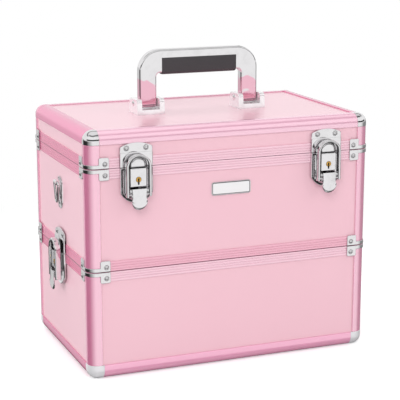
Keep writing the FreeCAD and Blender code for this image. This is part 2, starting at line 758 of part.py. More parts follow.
def lock_cylinder():
    """The brass cylinder with its key slot."""
    body = new_body("lock_cylinder")
    sketch = new_sketch(body, "XZ_Plane", s.lock_reach - s.key_depth)
    circle(sketch, ZERO, -s.key_drop, s.key_radius)
    pad(body, sketch, s.key_depth + s.key_proud)
    sketch = new_sketch(body, "XZ_Plane", s.lock_reach + s.key_proud)
    half = s.key_slot_width / 2
    rectangle(sketch, (-half, -s.key_drop - 2 * s.key_radius), (half, s.key_slot_rise - s.key_drop))
    pocket(body, sketch, s.key_slot_depth)
    return body


# ---------------------------------------------------------------- strap rings, in the same kind of frame

def ring_bracket():
    """The plate on the side wall with the saddle that holds the strap ring."""
    body = new_body("ring_bracket")
    half = s.ring_plate_width / 2
    rise = s.ring_plate_height / 2
    sketch = new_sketch(body, "XZ_Plane", -s.skin)
    outline(sketch, [(half, -rise + half), (half, rise - half), (-half, rise - half),
                     (-half, -rise + half)], {1: (ZERO, rise - half, OUT), 3: (ZERO, half - rise, OUT)})
    pad(body, sketch, s.skin)
    sketch = new_sketch(body, "YZ_Plane")
    r = s.ring_wire + s.saddle_wall
    up = s.ring_pivot_rise
    outline(sketch, [(-s.ring_pivot_reach, up - r), (ZERO, up - r), (ZERO, up + r),
                     (-s.ring_pivot_reach, up + r)], {3: (-s.ring_pivot_reach, up, OUT)})
    pad(body, sketch, s.saddle_width, symmetric=True)
    sketch = new_sketch(body, "YZ_Plane")
    circle(sketch, -s.ring_pivot_reach, up, s.ring_wire + s.running_play)
    pocket(body, sketch, 2 * s.saddle_width, symmetric=True)
    return body


def strap_ring():
    """The hanging ring: round wire swept along a triangle with a straight bar and a round end."""
    body = new_body("strap_ring")
    path = new_sketch(body, "XZ_Plane", s.ring_pivot_reach)
    top = s.ring_pivot_rise
    bend = s.ring_end_radius
    low = top - s.ring_length
    across = s.ring_half_width - bend
    down = s.ring_length - bend
    slant = root(across * across + down * down)
    out_x = bend * down / slant
    out_z = bend * across / slant
    outline(path, [(ZERO, top), (-across, top), (-across - out_x, top - bend - out_z),
                   (-out_x, low - out_z), (out_x, low - out_z), (across + out_x, top - bend - out_z),
                   (across, top)],
            {1: (-across, top - bend, OUT), 3: (ZERO, low, OUT), 5: (across, top - bend, OUT)})
    section = new_sketch(body, "YZ_Plane")
    circle(section, -s.ring_pivot_reach, top, s.ring_wire)
    doc.recompute()
    pipe = body.newObject("PartDesign::AdditivePipe", "ring_pipe")
    pipe.Profile = section
    pipe.Spine = (path, [f"Edge{i}" for i in range(1, len(path.Shape.Edges) + 1)])
    return body


# ---------------------------------------------------------------- rear hinges

def hinge_leaf(name, up, spans):
    """One leaf with its knuckles: up is +1 for the lid's leaf; spans are the knuckles' (start, end)."""
    body = new_body(name)
    face = half_depth - s.rim_setback
    axis = half_depth + s.hinge_offset
    near = high_seam + up * s.hinge_clear
    high = high_seam + up * s.knuckle_radius
    low = high_seam + up * (s.knuckle_radius - s.hinge_sheet)
    sketch = new_sketch(body, "YZ_Plane")
    rectangle(sketch, (face, near), (face + s.hinge_sheet, high_seam + up * s.hinge_leaf))
    pad(body, sketch, s.hinge_width, symmetric=True)
    for start, end in spans:
        sketch = new_sketch(body, "YZ_Plane", start)
        outline(sketch, [(face, near), (face, low), (axis, low), (axis, high),
                         (face + s.hinge_sheet, high), (face + s.hinge_sheet, near)])
        pad(body, sketch, end - start)
        sketch = new_sketch(body, "YZ_Plane", start)
        circle(sketch, axis, high_seam, s.knuckle_radius)
        pad(body, sketch, end - start)
    sketch = new_sketch(body, "YZ_Plane")
    circle(sketch, axis, high_seam, s.hinge_pin_radius + s.running_play)
    pocket(body, sketch, 2 * s.hinge_width, symmetric=True)
    return body


def hinge_pin():
    """The rear hinge's pin with a head at each end."""
    body = new_body("hinge_pin")
    axis = half_depth + s.hinge_offset
    sketch = new_sketch(body, "YZ_Plane")
    circle(sketch, axis, high_seam, s.hinge_pin_radius)
    pad(body, sketch, s.hinge_width, symmetric=True)
    for start in (s.hinge_width / 2, -s.hinge_width / 2 - s.hinge_head):
        sketch = new_sketch(body, "YZ_Plane", start)
        circle(sketch, axis, high_seam, s.hinge_pin_radius + s.hinge_head / 2)
        pad(body, sketch, s.hinge_head)
    return body


# ---------------------------------------------------------------- handle

handle_pivot = case_top + s.handle_pivot_rise


def handle_bow():
    """The cast bow: two arms, rounded corners and a spine over the gap for the grip."""
    body = new_body("handle_bow_body")
    outer = s.handle_width / 2
    inner = outer - s.arm_width
    foot = handle_pivot - s.handle_thickness / 2
    top = case_top + s.handle_rise
    under = top - s.bar_height
    seat = top - s.spine_height
    grip = s.grip_length / 2
    big = s.handle_round
    small = s.handle_inner_round
    sketch = new_sketch(body, "XZ_Plane")
    outline(sketch, [
        (inner, foot), (outer, foot), (outer, top - big), (outer - big, top), (-outer + big, top),
        (-outer, top - big), (-outer, foot), (-inner, foot), (-inner, under - small),
        (-inner + small, under), (-grip, under), (-grip, seat), (grip, seat), (grip, under),
        (inner - small, under), (inner, under - small)],
        {2: (outer - big, top - big, OUT), 4: (-outer + big, top - big, OUT),
         8: (-inner + small, under - small, IN), 14: (inner - small, under - small, IN)})
    bow = pad(body, sketch, s.handle_thickness, symmetric=True)
    foot_level = foot.number
    ends = round_edges(body, bow, s.handle_thickness / 2 - s.running_play,
                       lambda edge: runs_along(edge, 0) and abs(middle_of(edge).z - foot_level) < 1e-6)
    face = s.handle_thickness.number / 2
    hidden = (s.grip_length / 2).number + 1e-6
    floor_of_arms = (handle_pivot + s.handle_thickness / 2).number

    def long_edge(edge):
        spot = middle_of(edge)
        by_grip = abs(spot.x) < hidden and spot.z < top.number - 1e-6
        return abs(abs(spot.y) - face) < 1e-6 and not by_grip and spot.z > floor_of_arms

    round_edges(body, ends, s.handle_edge, long_edge)
    sketch = new_sketch(body, "YZ_Plane")
    circle(sketch, ZERO, handle_pivot, s.handle_pin_radius + s.running_play)
    pocket(body, sketch, 2 * s.handle_width, symmetric=True)
    return body


def handle_grip():
    """The rubber grip that fills the gap under the spine."""
    body = new_body("handle_grip_body")
    half = s.handle_thickness / 2 + s.grip_proud
    seat = case_top + s.handle_rise - s.spine_height
    under = case_top + s.handle_rise - s.bar_height - s.grip_hang
    r = s.grip_round
    sketch = new_sketch(body, "YZ_Plane")
    outline(sketch, [(-half + r, under), (half - r, under), (half, under + r), (half, seat),
                     (-half, seat), (-half, under + r)],
            {1: (half - r, under + r, OUT), 5: (-half + r, under + r, OUT)})
    pad(body, sketch, s.grip_length, symmetric=True)
    return body


def handle_bracket():
    """One bracket: two cheeks that hold the pin, with a low bar in front and behind."""
    body = new_body("handle_bracket")
    middle = s.handle_width / 2 - s.arm_width / 2
    half = s.bracket_width / 2
    deep = s.bracket_depth / 2
    seat = case_top - s.skin
    sketch = new_sketch(body, "XY_Plane", seat)
    rectangle(sketch, (middle - half, -deep), (middle + half, deep))
    solid = pad(body, sketch, s.bracket_rise + s.skin)
    slot = s.arm_width / 2 + s.bracket_play
    sketch = new_sketch(body, "XZ_Plane")
    rectangle(sketch, (middle - slot, case_top + s.bracket_bar_rise),
              (middle + slot, case_top + 2 * s.bracket_rise))
    pocket(body, sketch, 2 * s.bracket_depth, symmetric=True)
    sketch = new_sketch(body, "XY_Plane", case_top + s.bracket_bar_rise)
    well = deep - s.bracket_bar_width
    rectangle(sketch, (middle - slot, -well), (middle + slot, well))
    pocket(body, sketch, s.bracket_bar_rise + s.skin - s.bracket_floor)
    cradle = body.Tip
    top = (case_top + s.bracket_rise).number

    def cheek_end(edge):
        spot = middle_of(edge)
        return runs_along(edge, 0) and abs(spot.z - top) < 1e-6

    round_edges(body, cradle, s.bracket_round, cheek_end)
    sketch = new_sketch(body, "YZ_Plane")
    circle(sketch, ZERO, handle_pivot, s.handle_pin_radius)
    pocket(body, sketch, 2 * s.case_width, symmetric=True)
    return body


def handle_pin():
    """The pin through one bracket's cheeks and the arm between them."""
    body = new_body("handle_pin")
    middle = s.handle_width / 2 - s.arm_width / 2
    sketch = new_sketch(body, "YZ_Plane", middle - s.bracket_width / 2)
    circle(sketch, ZERO, handle_pivot, s.handle_pin_radius)
    pad(body, sketch, s.bracket_width)
    return body


# ---------------------------------------------------------------- nameplate and inside

def nameplate():
    """The blank plate on the front: a raised border round a plain field."""
    body = new_body("nameplate_body")
    middle = s.nameplate_offset
    half = s.nameplate_width / 2
    rise = s.nameplate_height / 2
    low = s.nameplate_centre - rise
    high = s.nameplate_centre + rise
    sketch = new_sketch(body, "XZ_Plane", half_depth - s.skin)
    rectangle(sketch, (middle - half, low), (middle + half, high))
    blank = pad(body, sketch, s.nameplate_sheet)
    round_edges(body, blank, s.nameplate_round, lambda edge: runs_along(edge, 1))
    edge = s.nameplate_frame
    sketch = new_sketch(body, "XZ_Plane", half_depth - s.skin + s.nameplate_sheet)
    rectangle(sketch, (middle - half + edge, low + edge), (middle + half - edge, high - edge))
    pocket(body, sketch, s.nameplate_sunk)
    return body


def divider_tray():
    """The tray of the upper box: one long bay in front, three bays behind."""
    body = new_body("tray_body")
    half = half_width - wall - s.tray_play
    deep = half_depth - wall - s.tray_front_room
    low = s.tray_top - s.tray_height
    sketch = new_sketch(body, "XY_Plane", low)
    rectangle(sketch, (-half, -deep), (half, deep))
    solid = pad(body, sketch, s.tray_height)
    round_edges(body, solid, s.tray_round, lambda edge: runs_along(edge, 2))
    t = s.tray_wall
    split = -s.tray_split
    third = half / 3
    bays = [((-half + t, -deep + t), (half - t, split - t / 2)),
            ((-half + t, split + t / 2), (-third - t / 2, deep - t)),
            ((-third + t / 2, split + t / 2), (third - t / 2, deep - t)),
            ((third + t / 2, split + t / 2), (half - t, deep - t))]
    for corner, opposite in bays:
        sketch = new_sketch(body, "XY_Plane", s.tray_top)
        rectangle(sketch, corner, opposite)
        pocket(body, sketch, s.tray_height - t)
    return body


# ---------------------------------------------------------------- the case

edge_x = half_width - wall
edge_y = half_depth - wall

# Base box.
reach_x = half_width - s.corner_radius
reach_y = half_depth - s.corner_radius
node_group("base_floor_panel", [block("base_floor", (-reach_x, -reach_y, s.skin),
                                      (reach_x, reach_y, s.skin + s.board))])
wall_boards("base", s.corner_radius, low_seam - s.rim_band + s.rim_grip)
corner_posts("base_corner_posts", s.bottom_leg, low_seam - half_gap)
edge_frame("base_bottom_frame", s.bottom_leg, ZERO, 1)
rim("base_top_rim", low_seam, -1, has_tongue=True)
on_four_corners("base_corner_caps", corner_cap("base_cap", s.bottom_leg))
corner_plates("base_corner_plates", below=[low_seam])
pad_x = half_width - s.bottom_leg - s.seam_gap
pad_y = half_depth - s.bottom_leg - s.seam_gap
node_group("base_lining", [block("base_pad", (-pad_x, -pad_y, s.skin + s.board),
                                 (pad_x, pad_y, s.skin + s.board + s.lining))])

# Upper box.
floor_level = low_seam + s.floor_lift
node_group("middle_floor_panel", [block("middle_floor", (-edge_x, -edge_y, floor_level),
                                        (edge_x, edge_y, floor_level + s.board))])
wall_boards("middle", low_seam + s.rim_band - s.rim_grip, high_seam - s.rim_band + s.rim_grip)
corner_posts("middle_corner_posts", low_seam + half_gap, high_seam - half_gap)
rim("middle_bottom_rim", low_seam, 1, has_tongue=False)
rim("middle_top_rim", high_seam, -1, has_tongue=True)
corner_plates("middle_corner_plates", above=[low_seam], below=[high_seam])
node_group("middle_lining", [block("middle_pad", (-edge_x, -edge_y, floor_level + s.board),
                                   (edge_x, edge_y, floor_level + s.board + s.lining))])
node("middle_tray", divider_tray())
rail_top = s.tray_top - s.tray_height
rail_y = half_depth - s.post_leg
rail = block("tray_rail", (-half_width + s.skin + s.board, -rail_y, rail_top - s.rail_height),
             (-half_width + s.skin + s.board + s.rail_width, rail_y, rail_top))
on_both_ends("middle_tray_rails", rail, 0)
node("middle_nameplate", nameplate())

# Lid.
node_group("lid_top_panel", [block("lid_top", (-reach_x, -reach_y, case_top - s.skin - s.board),
                                   (reach_x, reach_y, case_top - s.skin))])
wall_boards("lid", high_seam + s.rim_band - s.rim_grip, case_top - s.corner_radius)
corner_posts("lid_corner_posts", high_seam + half_gap, case_top - s.top_leg)
edge_frame("lid_top_frame", s.top_leg, case_top, -1)
rim("lid_rim", high_seam, 1, has_tongue=False)
lid_cap = placed("lid_cap_raised", mirrored(corner_cap("lid_cap", s.top_leg), 2), ZERO, ZERO, case_top)
on_both_ends("lid_front_corner_caps", lid_cap, 0)
on_both_ends("lid_rear_corner_caps", mirrored(lid_cap, 1), 0)
corner_plates("lid_corner_plates", above=[high_seam])
mirror_under = case_top - s.skin - s.board
mirror_x = edge_x - s.mirror_side_margin
mirror_y = edge_y - s.mirror_end_margin
glass = block("mirror", (-mirror_x, -mirror_y, mirror_under - s.mirror_sheet),
              (mirror_x, mirror_y, mirror_under))
node_group("lid_mirror", [glass])

# Rear hinges.
knuckle = s.knuckle_middle / 2
hinge_half = s.hinge_width / 2
hinge_x = half_width - s.plate_reach - s.hinge_gap - hinge_half
lid_leaf = hinge_leaf("lid_leaf", 1, [(-knuckle, knuckle)])
box_leaf = hinge_leaf("box_leaf", -1, [(-hinge_half, -knuckle - s.side_play),
                                       (knuckle + s.side_play, hinge_half)])
for name, master in (("lid_hinge_leaves", lid_leaf), ("middle_hinge_leaves", box_leaf),
                     ("middle_hinge_pins", hinge_pin())):
    on_both_ends(name, placed(name + "_left", master, -hinge_x, ZERO, ZERO), 0)

# Handle.
node("handle_bow", handle_bow())
node("handle_grip", handle_grip())
on_both_ends("lid_handle_brackets", handle_bracket(), 0)
on_both_ends("lid_handle_pins", handle_pin(), 0)

# Latches: two in front across the upper seam, one at each side across the lower seam.
catch, keeper, pin = latch_catch(), latch_keeper(), latch_pin()
moving = {"lever": latch_lever(), "hoop": latch_hoop(), "lock_cylinder": lock_cylinder()}
latch_x = half_width - s.plate_reach - s.latch_gap - s.latch_width / 2
front_places = {
    "left": (-latch_x, -half_depth, high_seam, 0),
    "right": (latch_x, -half_depth, high_seam, 0)}
side_places = {
    "left": (-half_width, ZERO, low_seam, -90),
    "right": (half_width, ZERO, low_seam, 90)}
for where, places, over, under in (("front", front_places, "lid", "middle"),
                                   ("side", side_places, "middle", "base")):
    for name, master in ((f"{over}_{where}_catches", catch), (f"{under}_{where}_latch_plates", keeper),
                         (f"{under}_{where}_latch_pins", pin)):
        node_group(name, [placed(f"{name}_{hand}", master, *place) for hand, place in places.items()])
    for kind, master in moving.items():
        for hand, place in places.items():
            name = f"{where}_{kind}_{hand}"
            node_group(name, [placed(name + "_placed", master, *place)])

# Strap rings on both sides of the upper box.
bracket, ring = ring_bracket(), strap_ring()
ring_places = {
    "left": (-half_width, ZERO, s.ring_plate_centre, -90),
    "right": (half_width, ZERO, s.ring_plate_centre, 90)}
node_group("middle_strap_brackets", [placed(f"strap_bracket_{hand}", bracket, *place)
                                     for hand, place in ring_places.items()])
for hand, place in ring_places.items():
    node_group(f"strap_ring_{hand}", [placed(f"strap_ring_{hand}_placed", ring, *place)])


# ---------------------------------------------------------------- checks and export

doc.recompute()
failed = [item.Label for item in doc.Objects if "Invalid" in item.State or "Error" in item.State]
if failed:
    raise RuntimeError(f"these objects failed: {failed}")
for item in nodes:
    if item.Shape.isNull() or not item.Shape.isValid() or not item.Shape.Solids:
        raise RuntimeError(f"{item.Label} has no valid solid")
os.makedirs("parts", exist_ok=True)
for item in nodes:
    item.Shape.exportStep(f"parts/{item.Label}.step")
print(f"{len(nodes)} nodes, {sum(len(item.Shape.Solids) for item in nodes)} solids")
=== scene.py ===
"""Looks of a makeup storage case with a folding handle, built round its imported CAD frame.

+Z is up and the front faces -Y. Planes, finishes and the studio are in metres; the fields of a
sub-assembly are in millimetres, unless MM turns them into metres. Each sub-assembly of the case is a
class that builds its pieces, dresses them and lets them ride on the CAD body that carries them.
"""
import json
import logging
import math
from dataclasses import dataclass
from enum import Enum
from functools import cache
from typing import Iterable, Optional, Sequence

import bmesh
import bpy
from mathutils import Matrix, Vector


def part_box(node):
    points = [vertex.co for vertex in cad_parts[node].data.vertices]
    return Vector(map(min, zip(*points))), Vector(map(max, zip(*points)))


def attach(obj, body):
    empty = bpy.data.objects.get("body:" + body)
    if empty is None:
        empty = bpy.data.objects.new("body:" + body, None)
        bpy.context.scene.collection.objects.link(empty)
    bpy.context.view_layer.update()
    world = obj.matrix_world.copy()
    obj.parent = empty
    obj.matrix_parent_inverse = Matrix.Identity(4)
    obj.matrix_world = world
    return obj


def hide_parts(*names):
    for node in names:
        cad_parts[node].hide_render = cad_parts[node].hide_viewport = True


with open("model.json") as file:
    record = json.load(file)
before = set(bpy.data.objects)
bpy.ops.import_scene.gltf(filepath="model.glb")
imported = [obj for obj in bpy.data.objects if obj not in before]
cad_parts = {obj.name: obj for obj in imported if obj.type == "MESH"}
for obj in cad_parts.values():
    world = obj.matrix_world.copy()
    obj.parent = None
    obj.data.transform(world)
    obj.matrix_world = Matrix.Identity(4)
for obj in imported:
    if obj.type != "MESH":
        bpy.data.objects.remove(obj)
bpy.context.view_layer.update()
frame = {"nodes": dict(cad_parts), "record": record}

log = logging.getLogger("makeup_case")

MM = 0.001  # a millimetre in metres
WELD = 2e-6  # corners nearer than this, in metres, become one
FLAT_WITHIN = 0.4  # degrees between faces that become one
LEAST_MITRE = 0.35  # keeps the sharp corners of an inset outline from running away
WHITE = (1, 1, 1, 1)
# Sections of the case, as the CAD nodes' names start, and the bodies that carry them.
SECTIONS = {"base": "base", "middle": "upper_box", "lid": "lid"}
Point = tuple[float, float]
Tones = tuple[Point, ...]
Colour = tuple[float, float, float]
Work = bmesh.types.BMesh
Piece = bpy.types.Object
Tree = bpy.types.NodeTree
Node = bpy.types.Node
Socket = bpy.types.NodeSocket


# ---------------------------------------------------------------- places on the case

class Hand(Enum):
    """Side of the case, seen from the front."""

    LEFT = -1
    RIGHT = 1

    @property
    def word(self) -> str:
        """The side's name as the CAD nodes spell it."""
        return self.name.lower()


class Run(Enum):
    """Axis that an extrusion was drawn along."""

    X = 0
    Y = 1
    Z = 2


@dataclass(frozen=True)
class CaseFrame:
    """Outer planes and seams of the closed case, read from its CAD nodes."""

    left: float
    right: float
    front: float
    rear: float
    low_seam: float
    high_seam: float
    top: float

    @property
    def sides(self) -> tuple[Point, Point]:
        """Left and right planes, each with the sign of its way outwards."""
        return (self.left, -1), (self.right, 1)

    @property
    def ends(self) -> tuple[Point, Point]:
        """Front and rear planes, each with the sign of its way outwards."""
        return (self.front, -1), (self.rear, 1)

    def side(self, hand: Hand) -> float:
        """Outer plane of one side."""
        return self.left if hand is Hand.LEFT else self.right

    @classmethod
    def measure(cls) -> "CaseFrame":
        """Read the planes from the corner posts and the lid's frame.

        Returns:
            The case's planes, in metres.
        """
        base_low, base_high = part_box("base_corner_posts")
        middle_low, middle_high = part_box("middle_corner_posts")
        lid_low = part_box("lid_corner_posts")[0]
        return cls(
            left=base_low.x, right=base_high.x, front=base_low.y, rear=base_high.y,
            low_seam=(base_high.z + middle_low.z) / 2, high_seam=(middle_high.z + lid_low.z) / 2,
            top=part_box("lid_top_frame")[1].z)


CASE = CaseFrame.measure()


def middle_of(node: str) -> Vector:
    """Centre of a CAD node's box.

    Args:
        node: name of the CAD node.

    Returns:
        The point halfway between the box's corners.
    """
    low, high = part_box(node)
    return (low + high) / 2


def least_x(node: str) -> float:
    """Least distance of a CAD node's corners from the middle plane."""
    return min(abs(vertex.co.x) for vertex in frame["nodes"][node].data.vertices)


def body_of(node: str) -> str:
    """CAD body that carries a node, by the section that its name starts with."""
    return SECTIONS[node.split("_")[0]]


def millimetres_at(spot: Sequence[float], turn: float = 0.0) -> Matrix:
    """Matrix from a piece's own frame, in millimetres, to a spot on the case; it may be turned about Z."""
    return Matrix.Translation(spot) @ Matrix.Rotation(turn, 4, "Z") @ Matrix.Scale(MM, 4)


def outward(place: Matrix) -> Vector:
    """The way outwards of a piece's own frame."""
    return place.to_3x3() @ Vector((0, -1, 0))


# ---------------------------------------------------------------- mesh work

def add_object(name: str, data: bpy.types.ID) -> Piece:
    """Put a new object into the scene.

    Args:
        name: the object's name.
        data: its mesh, lamp or camera.

    Returns:
        The object, at the origin.
    """
    added = bpy.data.objects.new(name, data)
    bpy.context.scene.collection.objects.link(added)
    return added


def shade(mesh: bpy.types.Mesh, smooth_below: float) -> None:
    """Shade a mesh smooth except across its hard edges.

    Args:
        mesh: the mesh.
        smooth_below: edges flatter than this many degrees shade smooth.
    """
    for polygon in mesh.polygons:
        polygon.use_smooth = True
    mesh.set_sharp_from_angle(angle=math.radians(smooth_below))


def new_piece(name: str, work: Work, finishes: Sequence["Finish"],
              smooth_below: float = 40.0) -> Piece:
    """Turn a working mesh into a scene object with its materials.

    Args:
        name: the piece's name.
        work: the working mesh, which is freed.
        finishes: one finish for each material index that the faces use.
        smooth_below: edges flatter than this many degrees shade smooth.

    Returns:
        The new object, at the origin.
    """
    mesh = bpy.data.meshes.new(name)
    work.to_mesh(mesh)
    work.free()
    for finish in finishes:
        mesh.materials.append(finish.material())
    shade(mesh, smooth_below)
    rims = {key for polygon in mesh.polygons if len(polygon.vertices) > 4 for key in polygon.edge_keys}
    for edge in mesh.edges:
        if edge.key in rims:
            edge.use_edge_sharp = True
    return add_object(name, mesh)


def welded_copy(*nodes: str) -> Work:
    """Working copy of CAD nodes with merged corners and whole flat faces; solids that touch stay apart.

    Args:
        nodes: names of the CAD nodes.

    Returns:
        The new working mesh.
    """
    work = bmesh.new()
    for node in nodes:
        data = frame["nodes"][node].data
        corners = [work.verts.new(vertex.co) for vertex in data.vertices]
        for polygon in data.polygons:
            try:
                work.faces.new([corners[i] for i in polygon.vertices])
            except ValueError:
                continue
    bmesh.ops.remove_doubles(work, verts=work.verts, dist=WELD)
    if any(len(edge.link_faces) > 2 for edge in work.edges):
        for solid in islands(work)[1:]:
            bmesh.ops.split(work, geom=solid, use_only_faces=True)
    bmesh.ops.dissolve_limit(work, angle_limit=math.radians(FLAT_WITHIN), verts=work.verts, edges=work.edges)
    return work


def soften(piece: Piece, width: float, segments: int = 2, above: float = 32.0) -> None:
    """Round a piece's hard edges so that they catch the light.

    Args:
        piece: the object to finish.
        width: width of the round, in metres.
        segments: faces across the round.
        above: only edges sharper than this many degrees are rounded.
    """
    bevel = piece.modifiers.new("soft_edges", "BEVEL")
    bevel.width = width
    bevel.segments = segments
    bevel.limit_method = "ANGLE"
    bevel.angle_limit = math.radians(above)
    bevel.harden_normals = True
    bevel.use_clamp_overlap = True


def mount(piece: Piece, body: str, slot: str, *nodes: str) -> None:
    """Let a piece ride on a body, and stand for the CAD nodes that it replaces.

    Args:
        piece: the finished object.
        body: CAD body that carries it.
        slot: the record's material slot; not used.
        nodes: CAD nodes that the piece stands for.
    """
    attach(piece, body)
    if nodes:
        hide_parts(*nodes)
    log.info("%s rides on %s", piece.name, body)


def softened_copy(node: str, ending: str, finish: "Finish", edge: float, segments: int, slot: str) -> None:
    """Replace a CAD node of a section by a welded copy with soft edges.

    Args:
        node: the CAD node.
        ending: what the piece's name adds to the node's.
        finish: the piece's finish.
        edge: width of the softened edges, in metres.
        segments: faces across them.
        slot: the record's material slot.
    """
    piece = new_piece(f"{node}_{ending}", welded_copy(node), [finish])
    soften(piece, edge, segments, above=50.0)
    mount(piece, body_of(node), slot, node)


def islands(work: Work) -> list[list[bmesh.types.BMFace]]:
    """Faces of a working mesh, grouped by the solid that they belong to.

    Args:
        work: the working mesh; where solids touch, an edge with more than two faces parts them.

    Returns:
        A list of faces for each solid.
    """
    seen: set[int] = set()
    groups = []
    work.faces.ensure_lookup_table()
    work.faces.index_update()
    for start in work.faces:
        if start.index in seen:
            continue
        seen.add(start.index)
        stack, members = [start], []
        while stack:
            face = stack.pop()
            members.append(face)
            for edge in face.edges:
                if len(edge.link_faces) > 2:
                    continue
                for other in edge.link_faces:
                    if other.index not in seen:
                        seen.add(other.index)
                        stack.append(other)
        groups.append(members)
    return groups


def mark_runs(work: Work) -> None:
    """Give each face the material index of its run: its solid's longest axis, or its side of a ring.

    Args:
        work: working mesh of extruded solids.
    """
    for members in islands(work):
        spots = [corner.co for face in members for corner in face.verts]
        spans = [max(spot[i] for spot in spots) - min(spot[i] for spot in spots) for i in range(3)]
        ring = min(spans[0], spans[1]) > spans[2]
        for face in members:
            if ring:
                spot = face.calc_center_median()
                to_side = min(spot.x - CASE.left, CASE.right - spot.x)
                to_end = min(spot.y - CASE.front, CASE.rear - spot.y)
                face.material_index = 1 if to_side < to_end else 0
            else:
                face.material_index = spans.index(max(spans))


def arc(centre: Point, radius: float, start: float, stop: float, steps: int) -> list[Point]:
    """Points along an arc.

    Args:
        centre: the arc's centre.
        radius: its radius.
        start: first angle in degrees.
        stop: last angle in degrees.
        steps: how many spans it is divided into.

    Returns:
        The points, both ends included.
    """
    angles = [math.radians(start + (stop - start) * i / steps) for i in range(steps + 1)]
    return [(centre[0] + radius * math.cos(a), centre[1] + radius * math.sin(a)) for a in angles]


def rounded_box(low: Point, high: Point, radius: float, steps: int = 5) -> list[Point]:
    """Outline of a rectangle with round corners, anticlockwise.

    Args:
        low: its lower left corner.
        high: its upper right corner.
        radius: radius of the corners.
        steps: spans of each corner.

    Returns:
        The outline.
    """
    x0, z0, x1, z1 = low[0] + radius, low[1] + radius, high[0] - radius, high[1] - radius
    return (arc((x0, z0), radius, 180, 270, steps) + arc((x1, z0), radius, 270, 360, steps)
            + arc((x1, z1), radius, 0, 90, steps) + arc((x0, z1), radius, 90, 180, steps))


def arched(half: float, foot: float, spring: float, crown: float, steps: int = 24) -> list[Point]:
    """Outline of a plate with a straight foot and an arched end, anticlockwise.

    Args:
        half: half of its width.
        foot: level of its straight end.
        spring: level where the arch starts.
        crown: level of the arch's top, above or below the foot.
        steps: spans of the arch.

    Returns:
        The outline.
    """
    rise = abs(crown - spring)
    radius = (half * half + rise * rise) / (2 * rise)
    swing = math.degrees(math.asin(min(1.0, half / radius)))
    if crown > foot:
        curve = arc((0.0, crown - radius), radius, 90 - swing, 90 + swing, steps)
        return [(-half, foot), (half, foot)] + curve
    curve = arc((0.0, crown + radius), radius, 270 - swing, 270 + swing, steps)
    return curve + [(half, foot), (-half, foot)]


def inset(outline: Sequence[Point], distance: float) -> list[Point]:
    """Move an outline inwards.

    Args:
        outline: points of an anticlockwise outline.
        distance: how far it moves; less than zero moves it outwards.

    Returns:
        As many points as the outline has.
    """
    moved = []
    count = len(outline)
    for i, (x, z) in enumerate(outline):
        before = Vector((x - outline[i - 1][0], z - outline[i - 1][1])).normalized()
        after = Vector((outline[(i + 1) % count][0] - x, outline[(i + 1) % count][1] - z)).normalized()
        normal = Vector((-before.y - after.y, before.x + after.x)).normalized()
        share = max(LEAST_MITRE, normal.dot(Vector((-before.y, before.x))))
        moved.append((x + normal.x * distance / share, z + normal.y * distance / share))
    return moved


def loft(work: Work, rings: Sequence[Sequence[Vector]], materials: Optional[Sequence[int]] = None) -> None:
    """Join rings of equally many points into one closed solid.

    Args:
        work: mesh to add to.
        rings: the rings, in order.
        materials: material index of each span between two rings, and of the last cap.
    """
    corners = [[work.verts.new(spot) for spot in ring] for ring in rings]
    indices = materials or [0] * len(rings)
    count = len(corners[0])
    for index, near, far in zip(indices, corners, corners[1:]):
        for i in range(count):
            j = (i + 1) % count
            work.faces.new((near[i], near[j], far[j], far[i])).material_index = index
    work.faces.new(reversed(corners[0])).material_index = indices[0]
    work.faces.new(corners[-1]).material_index = indices[-1]


def pressed(work: Work, place: Matrix, outline: Sequence[Point],
            levels: Sequence[Point], materials: Optional[Sequence[int]] = None) -> None:
    """Build a pressed or cast form whose outline steps inwards as it rises.

    Args:
        work: mesh to add to.
        place: matrix from the piece's own frame, where -Y is outwards.
        outline: anticlockwise outline in X and Z.
        levels: inset of the outline and how far out it lies, from back to front.
        materials: material index of each span between two levels, and of the front.
    """
    rings = [[place @ Vector((x, -out, z)) for x, z in inset(outline, depth)] for depth, out in levels]
    loft(work, rings, materials)


def swept(work: Work, place: Matrix, path: Sequence[Point], section: Sequence[Point],
          out: float) -> None:
    """Sweep a section along a path in the XZ plane.

    Args:
        work: mesh to add to.
        place: matrix from the piece's own frame.
        path: points of the path.
        section: points across the path and outwards.
        out: how far out the section's middle lies.
    """
    rings = []
    for i, (x, z) in enumerate(path):
        before, after = path[max(0, i - 1)], path[min(len(path) - 1, i + 1)]
        way = Vector((after[0] - before[0], after[1] - before[1])).normalized()
        rings.append([place @ Vector((x - way.y * a, -(out + b), z + way.x * a)) for a, b in section])
    loft(work, rings)


def turned(work: Work, place: Matrix, profile: Sequence[Point], around: Run = Run.X,
           sides: int = 28) -> None:
    """Turn a profile round an axis through the place's origin.

    Args:
        work: mesh to add to.
        place: matrix from the piece's own frame.
        profile: radius and position along the axis, in order.
        around: Run.X for pins, Run.Y for what faces outwards.
        sides: facets round the axis.
    """
    rings = []
    for radius, along in profile:
        ring = []
        for i in range(sides):
            a = 2 * math.pi * i / sides
            u, v = radius * math.cos(a), radius * math.sin(a)
            ring.append(place @ (Vector((along, u, v)) if around is Run.X else Vector((u, -along, v))))
        rings.append(ring)
    loft(work, rings)


def side_slab(work: Work, place: Matrix, outline: Sequence[Point], left: float,
              right: float) -> None:
    """Add a slab whose outline lies in the plane square to X.

    Args:
        work: mesh to add to.
        place: matrix from the piece's own frame.
        outline: points outwards and up.
        left: first X.
        right: last X.
    """
    loft(work, [[place @ Vector((x, -out, z)) for out, z in outline] for x in (left, right)])


def box_slab(work: Work, low: Sequence[float], high: Sequence[float]) -> None:
    """Add a block.

    Args:
        work: mesh to add to.
        low: its least corner, in metres.
        high: its greatest corner.
    """
    spots = [(low[0], low[1]), (high[0], low[1]), (high[0], high[1]), (low[0], high[1])]
    loft(work, [[Vector((x, y, z)) for x, y in spots] for z in (low[2], high[2])])


